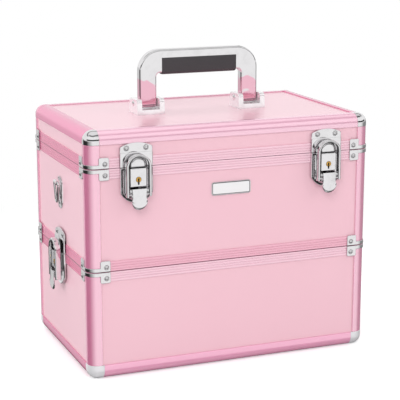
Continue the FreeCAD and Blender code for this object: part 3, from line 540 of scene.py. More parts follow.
def outwards(work: Work) -> Work:
    """Turn all faces of closed solids outwards."""
    bmesh.ops.recalc_face_normals(work, faces=work.faces)
    return work


def bake(piece: Piece) -> bpy.types.Mesh:
    """Keep what a piece's modifiers make as its plain mesh.

    Args:
        piece: object with modifiers, which are removed.

    Returns:
        The object's new mesh.
    """
    bpy.context.view_layer.update()
    shown = piece.evaluated_get(bpy.context.evaluated_depsgraph_get())
    mesh = bpy.data.meshes.new_from_object(shown)
    piece.modifiers.clear()
    piece.data = mesh
    return mesh


def carve(piece: Piece, cutter: Piece) -> None:
    """Cut one object out of another and remove the cutter; the cut takes the cutter's material.

    Args:
        piece: object that is cut.
        cutter: object that cuts.
    """
    cutting = piece.modifiers.new("carve", "BOOLEAN")
    cutting.object = cutter
    cutting.solver = "EXACT"
    cutting.material_mode = "TRANSFER"
    bake(piece)
    bpy.data.objects.remove(cutter)


# ---------------------------------------------------------------- shader building

def wire(tree: Tree, kind: str, sockets: Optional[dict] = None, **settings: object) -> Node:
    """Add a node to a tree, set it up and link it.

    Args:
        tree: shader or geometry tree.
        kind: the node's type.
        sockets: input name or index to a value, to another node's output or to a list of outputs.
        settings: properties of the node itself.

    Returns:
        The new node.
    """
    node = tree.nodes.new(kind)
    for name, value in settings.items():
        setattr(node, name, value)
    for key, value in (sockets or {}).items():
        for source in value if isinstance(value, list) else [value]:
            if isinstance(source, Socket):
                tree.links.new(source, node.inputs[key])
            else:
                node.inputs[key].default_value = source
    return node


def calc(tree: Tree, operation: str, *values: object) -> Socket:
    """Output of one sum on numbers or on other outputs."""
    return wire(tree, "ShaderNodeMath", dict(enumerate(values)), operation=operation).outputs[0]


def remap(tree: Tree, value: Socket, low: float, high: float, to_low: float = 0.0,
          to_high: float = 1.0, **settings: object) -> Socket:
    """Stretch a value from one range to another and hold it at both ends.

    Args:
        tree: the tree to build in.
        value: output that is stretched.
        low: start of its range.
        high: end of its range.
        to_low: start of the new range.
        to_high: end of the new range.
        settings: properties of the node itself.

    Returns:
        The stretched value's output.
    """
    ranges = {"Value": value, "From Min": low, "From Max": high, "To Min": to_low, "To Max": to_high}
    return wire(tree, "ShaderNodeMapRange", ranges, **settings).outputs[0]


def blend(tree: Tree, mask: object, first: object, second: object, **settings: object) -> Socket:
    """Output that goes from one colour to another as its mask rises."""
    sockets = {0: mask, 6: first, 7: second}
    return wire(tree, "ShaderNodeMix", sockets, data_type="RGBA", **settings).outputs[2]


def either(tree: Tree, share: Socket, first: Socket, second: Socket) -> Socket:
    """Output that goes from one shader to another as its share rises."""
    return wire(tree, "ShaderNodeMixShader", {0: share, 1: first, 2: second}).outputs[0]


def shader_group(name: str, inputs: dict[str, float], outputs: Sequence[str]) -> tuple[Tree, Node, Node]:
    """Start a shader node group that works on a vector.

    Args:
        name: the group's name.
        inputs: names and usual values of its numbers.
        outputs: names of the values that it puts out.

    Returns:
        The tree, its input node and its output node.
    """
    tree = bpy.data.node_groups.new(name, "ShaderNodeTree")
    tree.interface.new_socket("Vector", in_out="INPUT", socket_type="NodeSocketVector")
    for word, value in inputs.items():
        socket = tree.interface.new_socket(word, in_out="INPUT", socket_type="NodeSocketFloat")
        socket.default_value = value
    for word in outputs:
        tree.interface.new_socket(word, in_out="OUTPUT", socket_type="NodeSocketFloat")
    return tree, tree.nodes.new("NodeGroupInput"), tree.nodes.new("NodeGroupOutput")


@cache
def fine_grain_group() -> Tree:
    """Fine pebbled grain with slow unevenness, for laminate, rubber and moulded plastic.

    Returns:
        The group, which is built on first use.
    """
    tree, source, result = shader_group(
        "fine_grain", {"Scale": 900.0, "Unevenness": 0.3}, ["Height", "Mottle"])
    fine = wire(tree, "ShaderNodeTexNoise", {
        "Vector": source.outputs["Vector"], "Scale": source.outputs["Scale"], "Detail": 3.0})
    slow = wire(tree, "ShaderNodeTexNoise", {
        "Vector": source.outputs["Vector"], "Scale": 14.0, "Detail": 2.0, "Roughness": 0.6})
    spread = calc(tree, "MULTIPLY", slow.outputs["Fac"], source.outputs["Unevenness"])
    tree.links.new(calc(tree, "ADD", fine.outputs["Fac"], spread), result.inputs["Height"])
    tree.links.new(slow.outputs["Fac"], result.inputs["Mottle"])
    return tree


@cache
def drawn_lines_group() -> Tree:
    """Long fine lines along the vector's third axis, as extruding or brushing leaves them.

    Returns:
        The group, which is built on first use.
    """
    tree, source, result = shader_group(
        "drawn_lines", {"Density": 2200.0, "Length": 0.02}, ["Height", "Bands"])
    stretch = wire(tree, "ShaderNodeCombineXYZ", {0: 1.0, 1: 1.0, 2: source.outputs["Length"]})
    along = wire(tree, "ShaderNodeVectorMath", {
        0: source.outputs["Vector"], 1: stretch.outputs[0]}, operation="MULTIPLY")
    lines = wire(tree, "ShaderNodeTexNoise", {
        "Vector": along.outputs[0], "Scale": source.outputs["Density"], "Detail": 2.0, "Roughness": 0.7})
    bands = wire(tree, "ShaderNodeTexNoise", {
        "Vector": along.outputs[0], "Scale": 160.0, "Detail": 1.0})
    tree.links.new(lines.outputs["Fac"], result.inputs["Height"])
    tree.links.new(bands.outputs["Fac"], result.inputs["Bands"])
    return tree


@cache
def handling_marks_group() -> Tree:
    """Faint wiped smudges and hairline scratches that handling leaves on polished metal.

    Returns:
        The group, which is built on first use.
    """
    tree, source, result = shader_group(
        "handling_marks", {"Scale": 60.0, "Hairlines": 0.5}, ["Smudge", "Scratch"])
    cloud = wire(tree, "ShaderNodeTexNoise", {
        "Vector": source.outputs["Vector"], "Scale": source.outputs["Scale"], "Detail": 4.0,
        "Roughness": 0.65, "Distortion": 0.8})
    hair = wire(tree, "ShaderNodeTexWave", {
        "Vector": source.outputs["Vector"], "Scale": 310.0, "Distortion": 28.0, "Detail": 3.0,
        "Detail Scale": 0.8})
    thin = remap(tree, hair.outputs["Fac"], 0.985, 1.0)
    scratch = calc(tree, "MULTIPLY", thin, source.outputs["Hairlines"])
    tree.links.new(remap(tree, cloud.outputs["Fac"], 0.45, 0.75), result.inputs["Smudge"])
    tree.links.new(scratch, result.inputs["Scratch"])
    return tree


# ---------------------------------------------------------------- finishes

def scaled(colour: Colour, share: float) -> Colour:
    """A colour made darker or lighter by a factor."""
    return tuple(value * share for value in colour)


@dataclass(frozen=True)
class Finish:
    """What every finish shares: its name and the way to its material."""

    name: str

    def material(self) -> bpy.types.Material:
        """The finish's material.

        Returns:
            The material, which is built on first use.
        """
        ready = bpy.data.materials.get(self.name)
        if ready:
            return ready
        made = bpy.data.materials.new(self.name)
        made.use_nodes = True
        tree = made.node_tree
        coordinates = wire(tree, "ShaderNodeTexCoord")
        self.dress(tree, tree.nodes["Principled BSDF"], coordinates.outputs["Object"])
        return made

    def dress(self, tree: Tree, surface: Node, place: Socket) -> None:
        """Set up the shader.

        Args:
            tree: the material's node tree.
            surface: its Principled BSDF.
            place: object coordinates.
        """
        raise NotImplementedError

    @staticmethod
    def tint(tree: Tree, surface: Node, mask: Socket, first: Colour, second: Colour) -> None:
        """Vary the base colour between two tones by a mask."""
        tone = blend(tree, mask, (*first, 1.0), (*second, 1.0))
        tree.links.new(tone, surface.inputs["Base Color"])

    @staticmethod
    def overlay(tree: Tree, surface: Node, mask: Socket, colour: Colour) -> None:
        """Lay a further colour over the base colour where a mask is high."""
        before = surface.inputs["Base Color"].links[0].from_socket
        tree.links.new(blend(tree, mask, before, (*colour, 1.0)), surface.inputs["Base Color"])

    @staticmethod
    def gloss(tree: Tree, surface: Node, mask: Socket, low: float, high: float) -> None:
        """Vary the roughness between two values by a mask."""
        tree.links.new(remap(tree, mask, 0.0, 1.0, low, high), surface.inputs["Roughness"])

    @staticmethod
    def bump(tree: Tree, surface: Node, height: Socket, depth: float, strength: float) -> None:
        """Raise the surface by a height mask of the given depth in metres."""
        node = wire(tree, "ShaderNodeBump", {"Height": height, "Distance": depth, "Strength": strength})
        tree.links.new(node.outputs[0], surface.inputs["Normal"])


@dataclass(frozen=True)
class Grained(Finish):
    """What the duller finishes share: a fine pebble and slow changes of tone."""

    colour: Colour
    roughness: float = 0.3
    dulling: float = 0.08
    shade: float = 0.97
    grain: float = 1100.0
    unevenness: float = 0.2
    toned_by: str = "Mottle"
    depth: float = 0.00002
    strength: float = 0.3
    layers: tuple[tuple[str, float], ...] = ()

    def tones(self) -> list[Colour]:
        """The finish's two tones, the darker one first."""
        return sorted((self.colour, scaled(self.colour, self.shade)))

    def dress(self, tree: Tree, surface: Node, place: Socket) -> None:
        """Grain in the tone, in the gloss and in the relief, and what lies over it.

        Args:
            tree: the material's node tree.
            surface: its Principled BSDF.
            place: object coordinates.
        """
        sockets = {"Vector": place, "Scale": self.grain, "Unevenness": self.unevenness}
        grain = wire(tree, "ShaderNodeGroup", sockets, node_tree=fine_grain_group())
        self.tint(tree, surface, grain.outputs[self.toned_by], *self.tones())
        self.gloss(tree, surface, grain.outputs["Mottle"], self.roughness, self.roughness + self.dulling)
        self.bump(tree, surface, grain.outputs["Height"], self.depth, self.strength)
        for word, value in self.layers:
            surface.inputs[word].default_value = value


@dataclass(frozen=True)
class PinkBoard(Grained):
    """Satin pink laminate over the boards, with a very fine pebble under a thin coat."""

    colour: Colour = (0.885, 0.54, 0.62)
    deeper: Colour = (0.87, 0.52, 0.602)
    layers: tuple[tuple[str, float], ...] = (("Coat Weight", 0.8), ("Coat Roughness", 0.28))

    def tones(self) -> list[Colour]:
        """The laminate's two tones, the deeper one first."""
        return [self.deeper, self.colour]


@dataclass(frozen=True)
class GripRubber(Grained):
    """Matt black rubber of the grip, with a leathery pebble."""

    colour: Colour = (0.036, 0.033, 0.036)
    roughness: float = 0.42
    dulling: float = 0.18
    shade: float = 1.5
    grain: float = 700.0
    unevenness: float = 0.5
    depth: float = 0.0002
    strength: float = 0.6


@dataclass(frozen=True)
class ShortPile(Grained):
    """Black lining: a soft short pile with a light sheen."""

    colour: Colour = (0.012, 0.011, 0.012)
    roughness: float = 0.8
    dulling: float = 0.15
    shade: float = 2.6
    grain: float = 1600.0
    unevenness: float = 0.8
    toned_by: str = "Height"
    depth: float = 0.0004
    strength: float = 0.8
    layers: tuple[tuple[str, float], ...] = (("Sheen Weight", 0.4), ("Sheen Roughness", 0.4))


@dataclass(frozen=True)
class TrayPlastic(Grained):
    """Pale semi-matt plastic of the divider tray, with a fine moulded texture."""

    colour: Colour = (0.75, 0.73, 0.74)
    roughness: float = 0.32
    dulling: float = 0.14
    shade: float = 0.94
    grain: float = 1400.0
    unevenness: float = 0.3
    depth: float = 0.00005
    strength: float = 0.4


@dataclass(frozen=True)
class Enamel(Grained):
    """Even enamel of the blank nameplate, with a slight orange peel; it also carries the near-black painted
    shadow.
    """

    colour: Colour = (0.86, 0.85, 0.86)
    grain: float = 800.0


@dataclass(frozen=True)
class DrawnMetal(Finish):
    """Pink anodised aluminium, extruded along one axis."""

    run: Run = Run.Z
    colour: Colour = (0.87, 0.24, 0.44)
    lighter: Colour = (0.90, 0.28, 0.48)
    seal_index: float = 4.0
    seal_haze: float = 0.16
    # half-width and colour of the painted shadow line at the seams
    seam_shadow_width: float = 0.0
    seam_shadow_colour: Colour = (0.36, 0.05, 0.13)
    line_density: float = 1500.0
    line_length: float = 0.012
    line_depth: float = 0.00002
    line_strength: float = 0.4
    roughness: Point = (0.26, 0.4)
    metallic: float = 0.15

    def dress(self, tree: Tree, surface: Node, place: Socket) -> None:
        """Dyed metal under a clear sealed layer, with drawing lines along its run.

        Args:
            tree: the material's node tree.
            surface: its Principled BSDF.
            place: object coordinates.
        """
        turns = {Run.X: (0.0, math.pi / 2, 0.0), Run.Y: (math.pi / 2, 0.0, 0.0), Run.Z: (0.0, 0.0, 0.0)}
        turned_place = wire(tree, "ShaderNodeMapping", {"Vector": place, "Rotation": turns[self.run]})
        lines = wire(tree, "ShaderNodeGroup", {
            "Vector": turned_place.outputs[0], "Density": self.line_density, "Length": self.line_length},
            node_tree=drawn_lines_group())
        self.tint(tree, surface, lines.outputs["Bands"], self.colour, self.lighter)
        self.gloss(tree, surface, lines.outputs["Height"], *self.roughness)
        self.bump(tree, surface, lines.outputs["Height"], self.line_depth, self.line_strength)
        if self.seam_shadow_width:
            self.paint_seam_shadow(tree, surface, place)
        surface.inputs["Metallic"].default_value = self.metallic
        surface.inputs["Coat Weight"].default_value = 1.0
        surface.inputs["Coat IOR"].default_value = self.seal_index
        surface.inputs["Coat Roughness"].default_value = self.seal_haze

    def paint_seam_shadow(self, tree: Tree, surface: Node, place: Socket) -> None:
        """Paint a shadow line: deepen the colour in a thin band where two rims meet, painted shade for the
        gap between them.

        Args:
            tree: the material's node tree.
            surface: its Principled BSDF.
            place: object coordinates.
        """
        up = wire(tree, "ShaderNodeSeparateXYZ", {0: place}).outputs["Z"]
        near = [calc(tree, "COMPARE", up, CASE.low_seam, self.seam_shadow_width),
                calc(tree, "COMPARE", up, CASE.high_seam, self.seam_shadow_width / 2)]
        self.overlay(tree, surface, calc(tree, "MAXIMUM", *near), self.seam_shadow_colour)


@dataclass(frozen=True)
class Polished(Finish):
    """What bright metal and mirror glass share: smudges and hairlines that handling leaves."""

    colour: Colour
    smooth: float = 0.07
    wiped: float = 0.2
    metallic: float = 1.0
    shade: float = 0.93
    marks: float = 70.0
    hairlines: float = 0.4
    scratch_depth: float = 0.00001
    scratch_strength: float = 0.3

    def dress(self, tree: Tree, surface: Node, place: Socket) -> None:
        """Mirror-bright surface whose gloss changes where it was wiped.

        Args:
            tree: the material's node tree.
            surface: its Principled BSDF.
            place: object coordinates.
        """
        sockets = {"Vector": place, "Scale": self.marks, "Hairlines": self.hairlines}
        marks = wire(tree, "ShaderNodeGroup", sockets, node_tree=handling_marks_group())
        self.tint(tree, surface, marks.outputs["Smudge"], self.colour, scaled(self.colour, self.shade))
        self.gloss(tree, surface, marks.outputs["Smudge"], self.smooth, self.wiped)
        if self.scratch_depth:
            self.bump(tree, surface, marks.outputs["Scratch"], self.scratch_depth, self.scratch_strength)
        surface.inputs["Metallic"].default_value = self.metallic


@dataclass(frozen=True)
class Chrome(Polished):
    """Bright chrome plating; cast pieces sway a little and carry a painted pink reflection of the case."""

    colour: Colour = (0.80, 0.79, 0.80)
    ripple: float = 0.0
    ripple_scale: float = 26.0
    # painted pink reflection: the heights it fades between, its colour, its fade and the edge of its patches
    painted_reflection: Point = (0.0, 0.0)
    painted_reflection_colour: Colour = (0.86, 0.50, 0.60)
    painted_reflection_fade: Point = (-0.4, 0.12)
    painted_reflection_edge: Point = (0.46, 0.5)
    patch_scale: float = 34.0
    patch_twist: float = 1.2

    def dress(self, tree: Tree, surface: Node, place: Socket) -> None:
        """Polished plating, with a painted pink reflection and a ripple where they are wanted.

        Args:
            tree: the material's node tree.
            surface: its Principled BSDF.
            place: object coordinates.
        """
        super().dress(tree, surface, place)
        if self.painted_reflection[1]:
            self.paint_pink_reflection(tree, surface, place)
        if self.ripple:
            self.sway(tree, surface, place)

    def sway(self, tree: Tree, surface: Node, place: Socket) -> None:
        """Slow sway of a cast face: its normals lean a little, first one way, then another.

        Args:
            tree: the material's node tree.
            surface: its Principled BSDF.
            place: object coordinates.
        """
        cloud = wire(tree, "ShaderNodeTexNoise", {"Vector": place, "Scale": self.ripple_scale, "Detail": 1.0})
        lean = wire(tree, "ShaderNodeVectorMath", {0: cloud.outputs["Color"], 1: (0.5, 0.5, 0.5)},
                    operation="SUBTRACT")
        small = wire(tree, "ShaderNodeVectorMath", {0: lean.outputs[0], "Scale": self.ripple},
                     operation="SCALE")
        straight = surface.inputs["Normal"].links[0].from_socket
        leaning = wire(tree, "ShaderNodeVectorMath", {0: straight, 1: small.outputs[0]}, operation="ADD")
        level = wire(tree, "ShaderNodeVectorMath", {0: leaning.outputs[0]}, operation="NORMALIZE")
        tree.links.new(level.outputs[0], surface.inputs["Normal"])

    def paint_pink_reflection(self, tree: Tree, surface: Node, place: Socket) -> None:
        """Painted reflection of the pink case: pink patches over the base colour that fade out between two
        heights.

        Args:
            tree: the material's node tree.
            surface: its Principled BSDF.
            place: object coordinates.
        """
        low, high = self.painted_reflection
        up = wire(tree, "ShaderNodeSeparateXYZ", {0: place}).outputs["Z"]
        fade = remap(tree, up, high, low, *self.painted_reflection_fade)
        cloud = wire(tree, "ShaderNodeTexNoise", {
            "Vector": place, "Scale": self.patch_scale, "Detail": 1.0, "Distortion": self.patch_twist})
        patch = remap(tree, calc(tree, "ADD", cloud.outputs["Fac"], fade), *self.painted_reflection_edge)
        self.overlay(tree, surface, patch, self.painted_reflection_colour)


@dataclass(frozen=True)
class Brass(Polished):
    """Warm turned brass of the lock cylinders, with fine turning marks."""

    colour: Colour = (0.78, 0.48, 0.14)
    smooth: float = 0.2
    wiped: float = 0.38
    shade: float = 0.75
    marks: float = 300.0
    hairlines: float = 1.0
    scratch_depth: float = 0.00002
    scratch_strength: float = 0.4


@dataclass(frozen=True)
class MirrorGlass(Polished):
    """Clean silvered mirror of the lid, with the faintest smudges."""

    colour: Colour = (0.88, 0.90, 0.90)
    smooth: float = 0.01
    wiped: float = 0.05
    shade: float = 0.97
    marks: float = 16.0
    hairlines: float = 0.0
    scratch_depth: float = 0.0


BOARD = PinkBoard("pink_laminate")
METAL = {run: DrawnMetal(f"pink_anodised_{run.name.lower()}_run", run, seal_index=4.8) for run in Run}
# The frames' front-and-rear runs and side runs are lighter and darker copies of one pink anodised metal:
# painted light on the runs that face the front and rear, painted shade on the runs that face the sides; the
# bottom frame's front-and-rear runs get a tone of their own.
FRAME = {Run.X: DrawnMetal("lit_frame_x_run", Run.X, (0.90, 0.46, 0.61), (0.93, 0.50, 0.65), 3.0),
         Run.Y: DrawnMetal("shade_frame_y_run", Run.Y, (0.72, 0.08, 0.28), (0.75, 0.11, 0.31), 2.77),
         Run.Z: METAL[Run.Z]}
BASE_FRAME = {**FRAME, Run.X: DrawnMetal("base_frame_x_run", Run.X, (0.93, 0.38, 0.58),
                                         (0.96, 0.42, 0.62), 2.4)}
# Tones of one pink anodised rim, painted lighter and darker by how light falls: painted light on the front
# runs, painted shade on the side runs, deeper painted shade on the middle section's lower front rim and on
# the base rim's sides.
RimTones = tuple[Colour, Colour, float]
LIT_FRONT_TONES: RimTones = ((0.92, 0.48, 0.61), (0.95, 0.52, 0.65), 3.2)
SHADE_FRONT_TONES: RimTones = ((0.86, 0.36, 0.49), (0.89, 0.40, 0.53), 2.5)
SHADE_SIDE_TONES: RimTones = ((0.79, 0.17, 0.34), (0.82, 0.20, 0.37), 2.1)
DEEP_SHADE_SIDE_TONES: RimTones = ((0.74, 0.10, 0.27), (0.77, 0.13, 0.30), 2.1)
RIM_HAZE = 0.25
RIM_SEAM_SHADOW = 0.7 * MM


def rim_finishes(name: str, front: RimTones, side: RimTones) -> dict[Run, Finish]:
    """Rim finishes: one set of tones and a seal for the front and rear runs and another for the sides, as
    painted light and shade.
    """
    return {run: DrawnMetal(f"{name}_{run.name.lower()}_run", run, *(side if run is Run.Y else front),
                            RIM_HAZE, RIM_SEAM_SHADOW) for run in Run}


RIM = rim_finishes("pink_rim", LIT_FRONT_TONES, SHADE_SIDE_TONES)
RIM_WITH_DEEP_SHADE_SIDES = rim_finishes("side_deep_shade_rim", LIT_FRONT_TONES, DEEP_SHADE_SIDE_TONES)
RIM_WITH_SHADE_FRONT = rim_finishes("front_shade_rim", SHADE_FRONT_TONES, SHADE_SIDE_TONES)
PLATED = Chrome("chrome_plating")
# the cast bow carries the painted pink reflection, fading out between these heights
CAST = Chrome("cast_chrome", smooth=0.05, wiped=0.14, ripple=0.1, painted_reflection=(0.318, 0.368))
# Dark chrome laid on walls that lie in shade, on the catch's boss and the lock housing: painted shade.
SHADE_PAINTED_CHROME = Chrome("shade_painted_chrome", (0.15, 0.145, 0.15), 0.12, 0.25)
BRACKET = Chrome("bracket_chrome", (0.96, 0.95, 0.96), 0.08, 0.16, metallic=0.5, ripple=0.06)
CAP_SATIN = Chrome("satin_cap_plating", (0.84, 0.84, 0.86), 0.3, 0.42, metallic=0.35)
BRASS = Brass("lock_brass")
RUBBER = GripRubber("grip_rubber_black")
PILE = ShortPile("lining_pile")
MOULDED = TrayPlastic("tray_moulded_plastic")
SILVERED = MirrorGlass("mirror_silvered")
WHITE_ENAMEL = Enamel("nameplate_white_enamel")
BLACK_LINE = Enamel("nameplate_dark_line", (0.03, 0.03, 0.035), 0.35)
# Near-black painted shadow for the keyway, the key slot and the lever springs, where there is only shade.
PAINTED_SHADOW_BLACK = Enamel("painted_shadow_black", (0.012, 0.01, 0.01), 0.6)


def coat(mesh: bpy.types.Mesh, finish: Finish) -> None:
    """Give a mesh that keeps its CAD shape one finish."""
    mesh.materials.clear()
    mesh.materials.append(finish.material())


# ---------------------------------------------------------------- rivets and screws

class Head(Enum):
    """Kinds of fastener heads: radius, rise, length and width of the cross recess."""

    PLATE_RIVET = (2.4, 1.3, 0.0, 0.0)
    SMALL_RIVET = (1.8, 0.9, 0.0, 0.0)
    PAN_SCREW = (2.7, 1.4, 3.0, 0.75)
    LEAF_SCREW = (2.2, 0.9, 2.6, 0.7)


class FastenerField:
    """Rivets or screws of one kind on one body, set by Geometry Nodes on a cloud of places."""

    seat_ring: float = 0.45 * MM

    def __init__(self, name: str, body: str, head: Head) -> None:
        """Start an empty field.

        Args:
            name: the piece's name.
            body: CAD body that the fasteners ride on.
            head: kind of head.
        """
        self.name, self.body, self.head = name, body, head
        self.spots: list[Vector] = []
        self.facings: list[Vector] = []

    def add(self, spot: Vector, facing: Vector) -> None:
        """Set one fastener with its seat at a spot, its head facing a direction."""
        self.spots.append(Vector(spot))
        self.facings.append(Vector(facing).normalized())

    @staticmethod
    @cache
    def tree() -> Tree:
        """Geometry Nodes tree that turns places into domed heads, with a cross recess if wanted.

        Returns:
            The tree, which is built on first use.
        """
        tree = bpy.data.node_groups.new("fastener_heads", "GeometryNodeTree")
        face = tree.interface
        face.new_socket("Places", in_out="INPUT", socket_type="NodeSocketGeometry")
        for word in ("Head Radius", "Head Rise", "Recess Length", "Recess Width", "Seat Ring"):
            face.new_socket(word, in_out="INPUT", socket_type="NodeSocketFloat")
        face.new_socket("Recessed", in_out="INPUT", socket_type="NodeSocketBool")
        face.new_socket("Plating", in_out="INPUT", socket_type="NodeSocketMaterial")
        face.new_socket("Heads", in_out="OUTPUT", socket_type="NodeSocketGeometry")
        source, result = tree.nodes.new("NodeGroupInput"), tree.nodes.new("NodeGroupOutput")
        ball = wire(tree, "GeometryNodeMeshUVSphere", {"Segments": 20, "Rings": 10, "Radius": 1.0})
        size = wire(tree, "ShaderNodeCombineXYZ", {
            0: source.outputs["Head Radius"], 1: source.outputs["Head Radius"],
            2: source.outputs["Head Rise"]})
        dome = wire(tree, "GeometryNodeTransform", {"Geometry": ball.outputs[0], "Scale": size.outputs[0]})
        lift = wire(tree, "ShaderNodeCombineXYZ", {2: source.outputs["Head Rise"]})
        bars = []
        # The second bar is a little shallower, so that the two floors don't lie in one plane.
        for first, second, depth in (("Recess Length", "Recess Width", 1.0),
                                     ("Recess Width", "Recess Length", 0.94)):
            bar_size = wire(tree, "ShaderNodeCombineXYZ", {
                0: source.outputs[first], 1: source.outputs[second], 2: source.outputs["Head Rise"]})
            bar = wire(tree, "GeometryNodeMeshCube", {"Size": bar_size.outputs[0]})
            moved = wire(tree, "GeometryNodeTransform", {
                "Geometry": bar.outputs[0], "Translation": lift.outputs[0], "Scale": (1.0, 1.0, depth)})
            bars.append(moved.outputs[0])
        cross = wire(tree, "GeometryNodeMeshBoolean", {"Mesh 1": dome.outputs[0], "Mesh 2": bars},
                     operation="DIFFERENCE")
        head = wire(tree, "GeometryNodeSwitch", {
            "Switch": source.outputs["Recessed"], "False": dome.outputs[0], "True": cross.outputs[0]},
            input_type="GEOMETRY")
        radius = calc(tree, "ADD", source.outputs["Head Radius"], source.outputs["Seat Ring"])
        round_path = wire(tree, "GeometryNodeCurvePrimitiveCircle", {"Resolution": 20, "Radius": radius})
        wall = wire(tree, "GeometryNodeCurvePrimitiveCircle", {
            "Resolution": 8, "Radius": source.outputs["Seat Ring"]})
        ring = wire(tree, "GeometryNodeCurveToMesh", {
            "Curve": round_path.outputs[0], "Profile Curve": wall.outputs[0]})
        pick = wire(tree, "GeometryNodeJoinGeometry", {0: [head.outputs[0], ring.outputs[0]]})
        facing = wire(tree, "GeometryNodeInputNamedAttribute", {"Name": "facing"}, data_type="FLOAT_VECTOR")
        turn = wire(tree, "FunctionNodeAlignRotationToVector", {"Vector": facing.outputs[0]}, axis="Z")
        spread = wire(tree, "GeometryNodeInstanceOnPoints", {
            "Points": source.outputs["Places"], "Instance": pick.outputs[0], "Rotation": turn.outputs[0]})
        solid = wire(tree, "GeometryNodeRealizeInstances", {"Geometry": spread.outputs[0]})
        plated = wire(tree, "GeometryNodeSetMaterial", {
            "Geometry": solid.outputs[0], "Material": source.outputs["Plating"]})
        tree.links.new(plated.outputs[0], result.inputs[0])
        return tree

    def build(self) -> None:
        """Run the tree, keep its result as a plain mesh and let it ride on its body."""
        cloud = bpy.data.meshes.new(self.name + "_places")
        cloud.from_pydata(self.spots, [], [])
        facing = cloud.attributes.new("facing", "FLOAT_VECTOR", "POINT")
        facing.data.foreach_set("vector", [value for way in self.facings for value in way])
        piece = add_object(self.name, cloud)
        modifier = piece.modifiers.new("heads", "NODES")
        tree = self.tree()
        modifier.node_group = tree
        radius, rise, length, width = self.head.value
        values = {"Head Radius": radius * MM, "Head Rise": rise * MM, "Recess Length": length * MM,
                  "Recess Width": width * MM, "Seat Ring": self.seat_ring, "Recessed": length > 0,
                  "Plating": PLATED.material()}
        for item in tree.interface.items_tree:
            if item.item_type == "SOCKET" and item.in_out == "INPUT" and item.name in values:
                modifier[item.identifier] = values[item.name]
        mesh = bake(piece)
        mesh.name = self.name
        shade(mesh, 50.0)
        mount(piece, self.body, "chrome")


# ---------------------------------------------------------------- boards, profiles and rims

@dataclass
class Boards:
    """Pink boards of the three sections, which stay as the CAD made them."""

    sections: tuple[str, ...] = ("base", "middle", "lid")

    def dress(self) -> None:
        """Give every board the pink laminate."""
        for name, node in frame["nodes"].items():
            if name.startswith(self.sections) and name.endswith(("_panel", "_panels")):
                coat(node.data, BOARD)
                log.info("%s keeps its CAD shape", name)


@dataclass
class EdgeProfiles:
    """Extruded posts, frames and ribbed rims."""

    soft_edge: float = 0.35 * MM
    rim_edge: float = 0.26 * MM

    def build(self) -> None:
        """Make softened copies of all profiles, with drawing lines along each run."""
        frames = {"base_corner_posts": METAL, "middle_corner_posts": METAL, "lid_corner_posts": METAL,
                  "base_bottom_frame": BASE_FRAME, "lid_top_frame": FRAME}
        rims = {"base_top_rim": RIM_WITH_DEEP_SHADE_SIDES, "middle_bottom_rim": RIM_WITH_SHADE_FRONT, "middle_top_rim": RIM,
                "lid_rim": RIM}
        for nodes, slot, edge in ((frames, "pink_metal", self.soft_edge), (rims, "pink_rim", self.rim_edge)):
            for name, finishes in nodes.items():
                self.profile(name, finishes, slot, edge)

    @staticmethod
    def profile(node: str, finishes: dict[Run, Finish], slot: str, edge: float) -> None:
        """Replace one CAD node with a softened copy.

        Args:
            node: the CAD node.
            finishes: the finish for each run.
            slot: the record's material slot.
            edge: width of the softened edges.
        """
        work = welded_copy(node)
        mark_runs(work)
        piece = new_piece(node + "_drawn", work, [finishes[run] for run in Run])
        soften(piece, edge)
        mount(piece, body_of(node), slot, node)


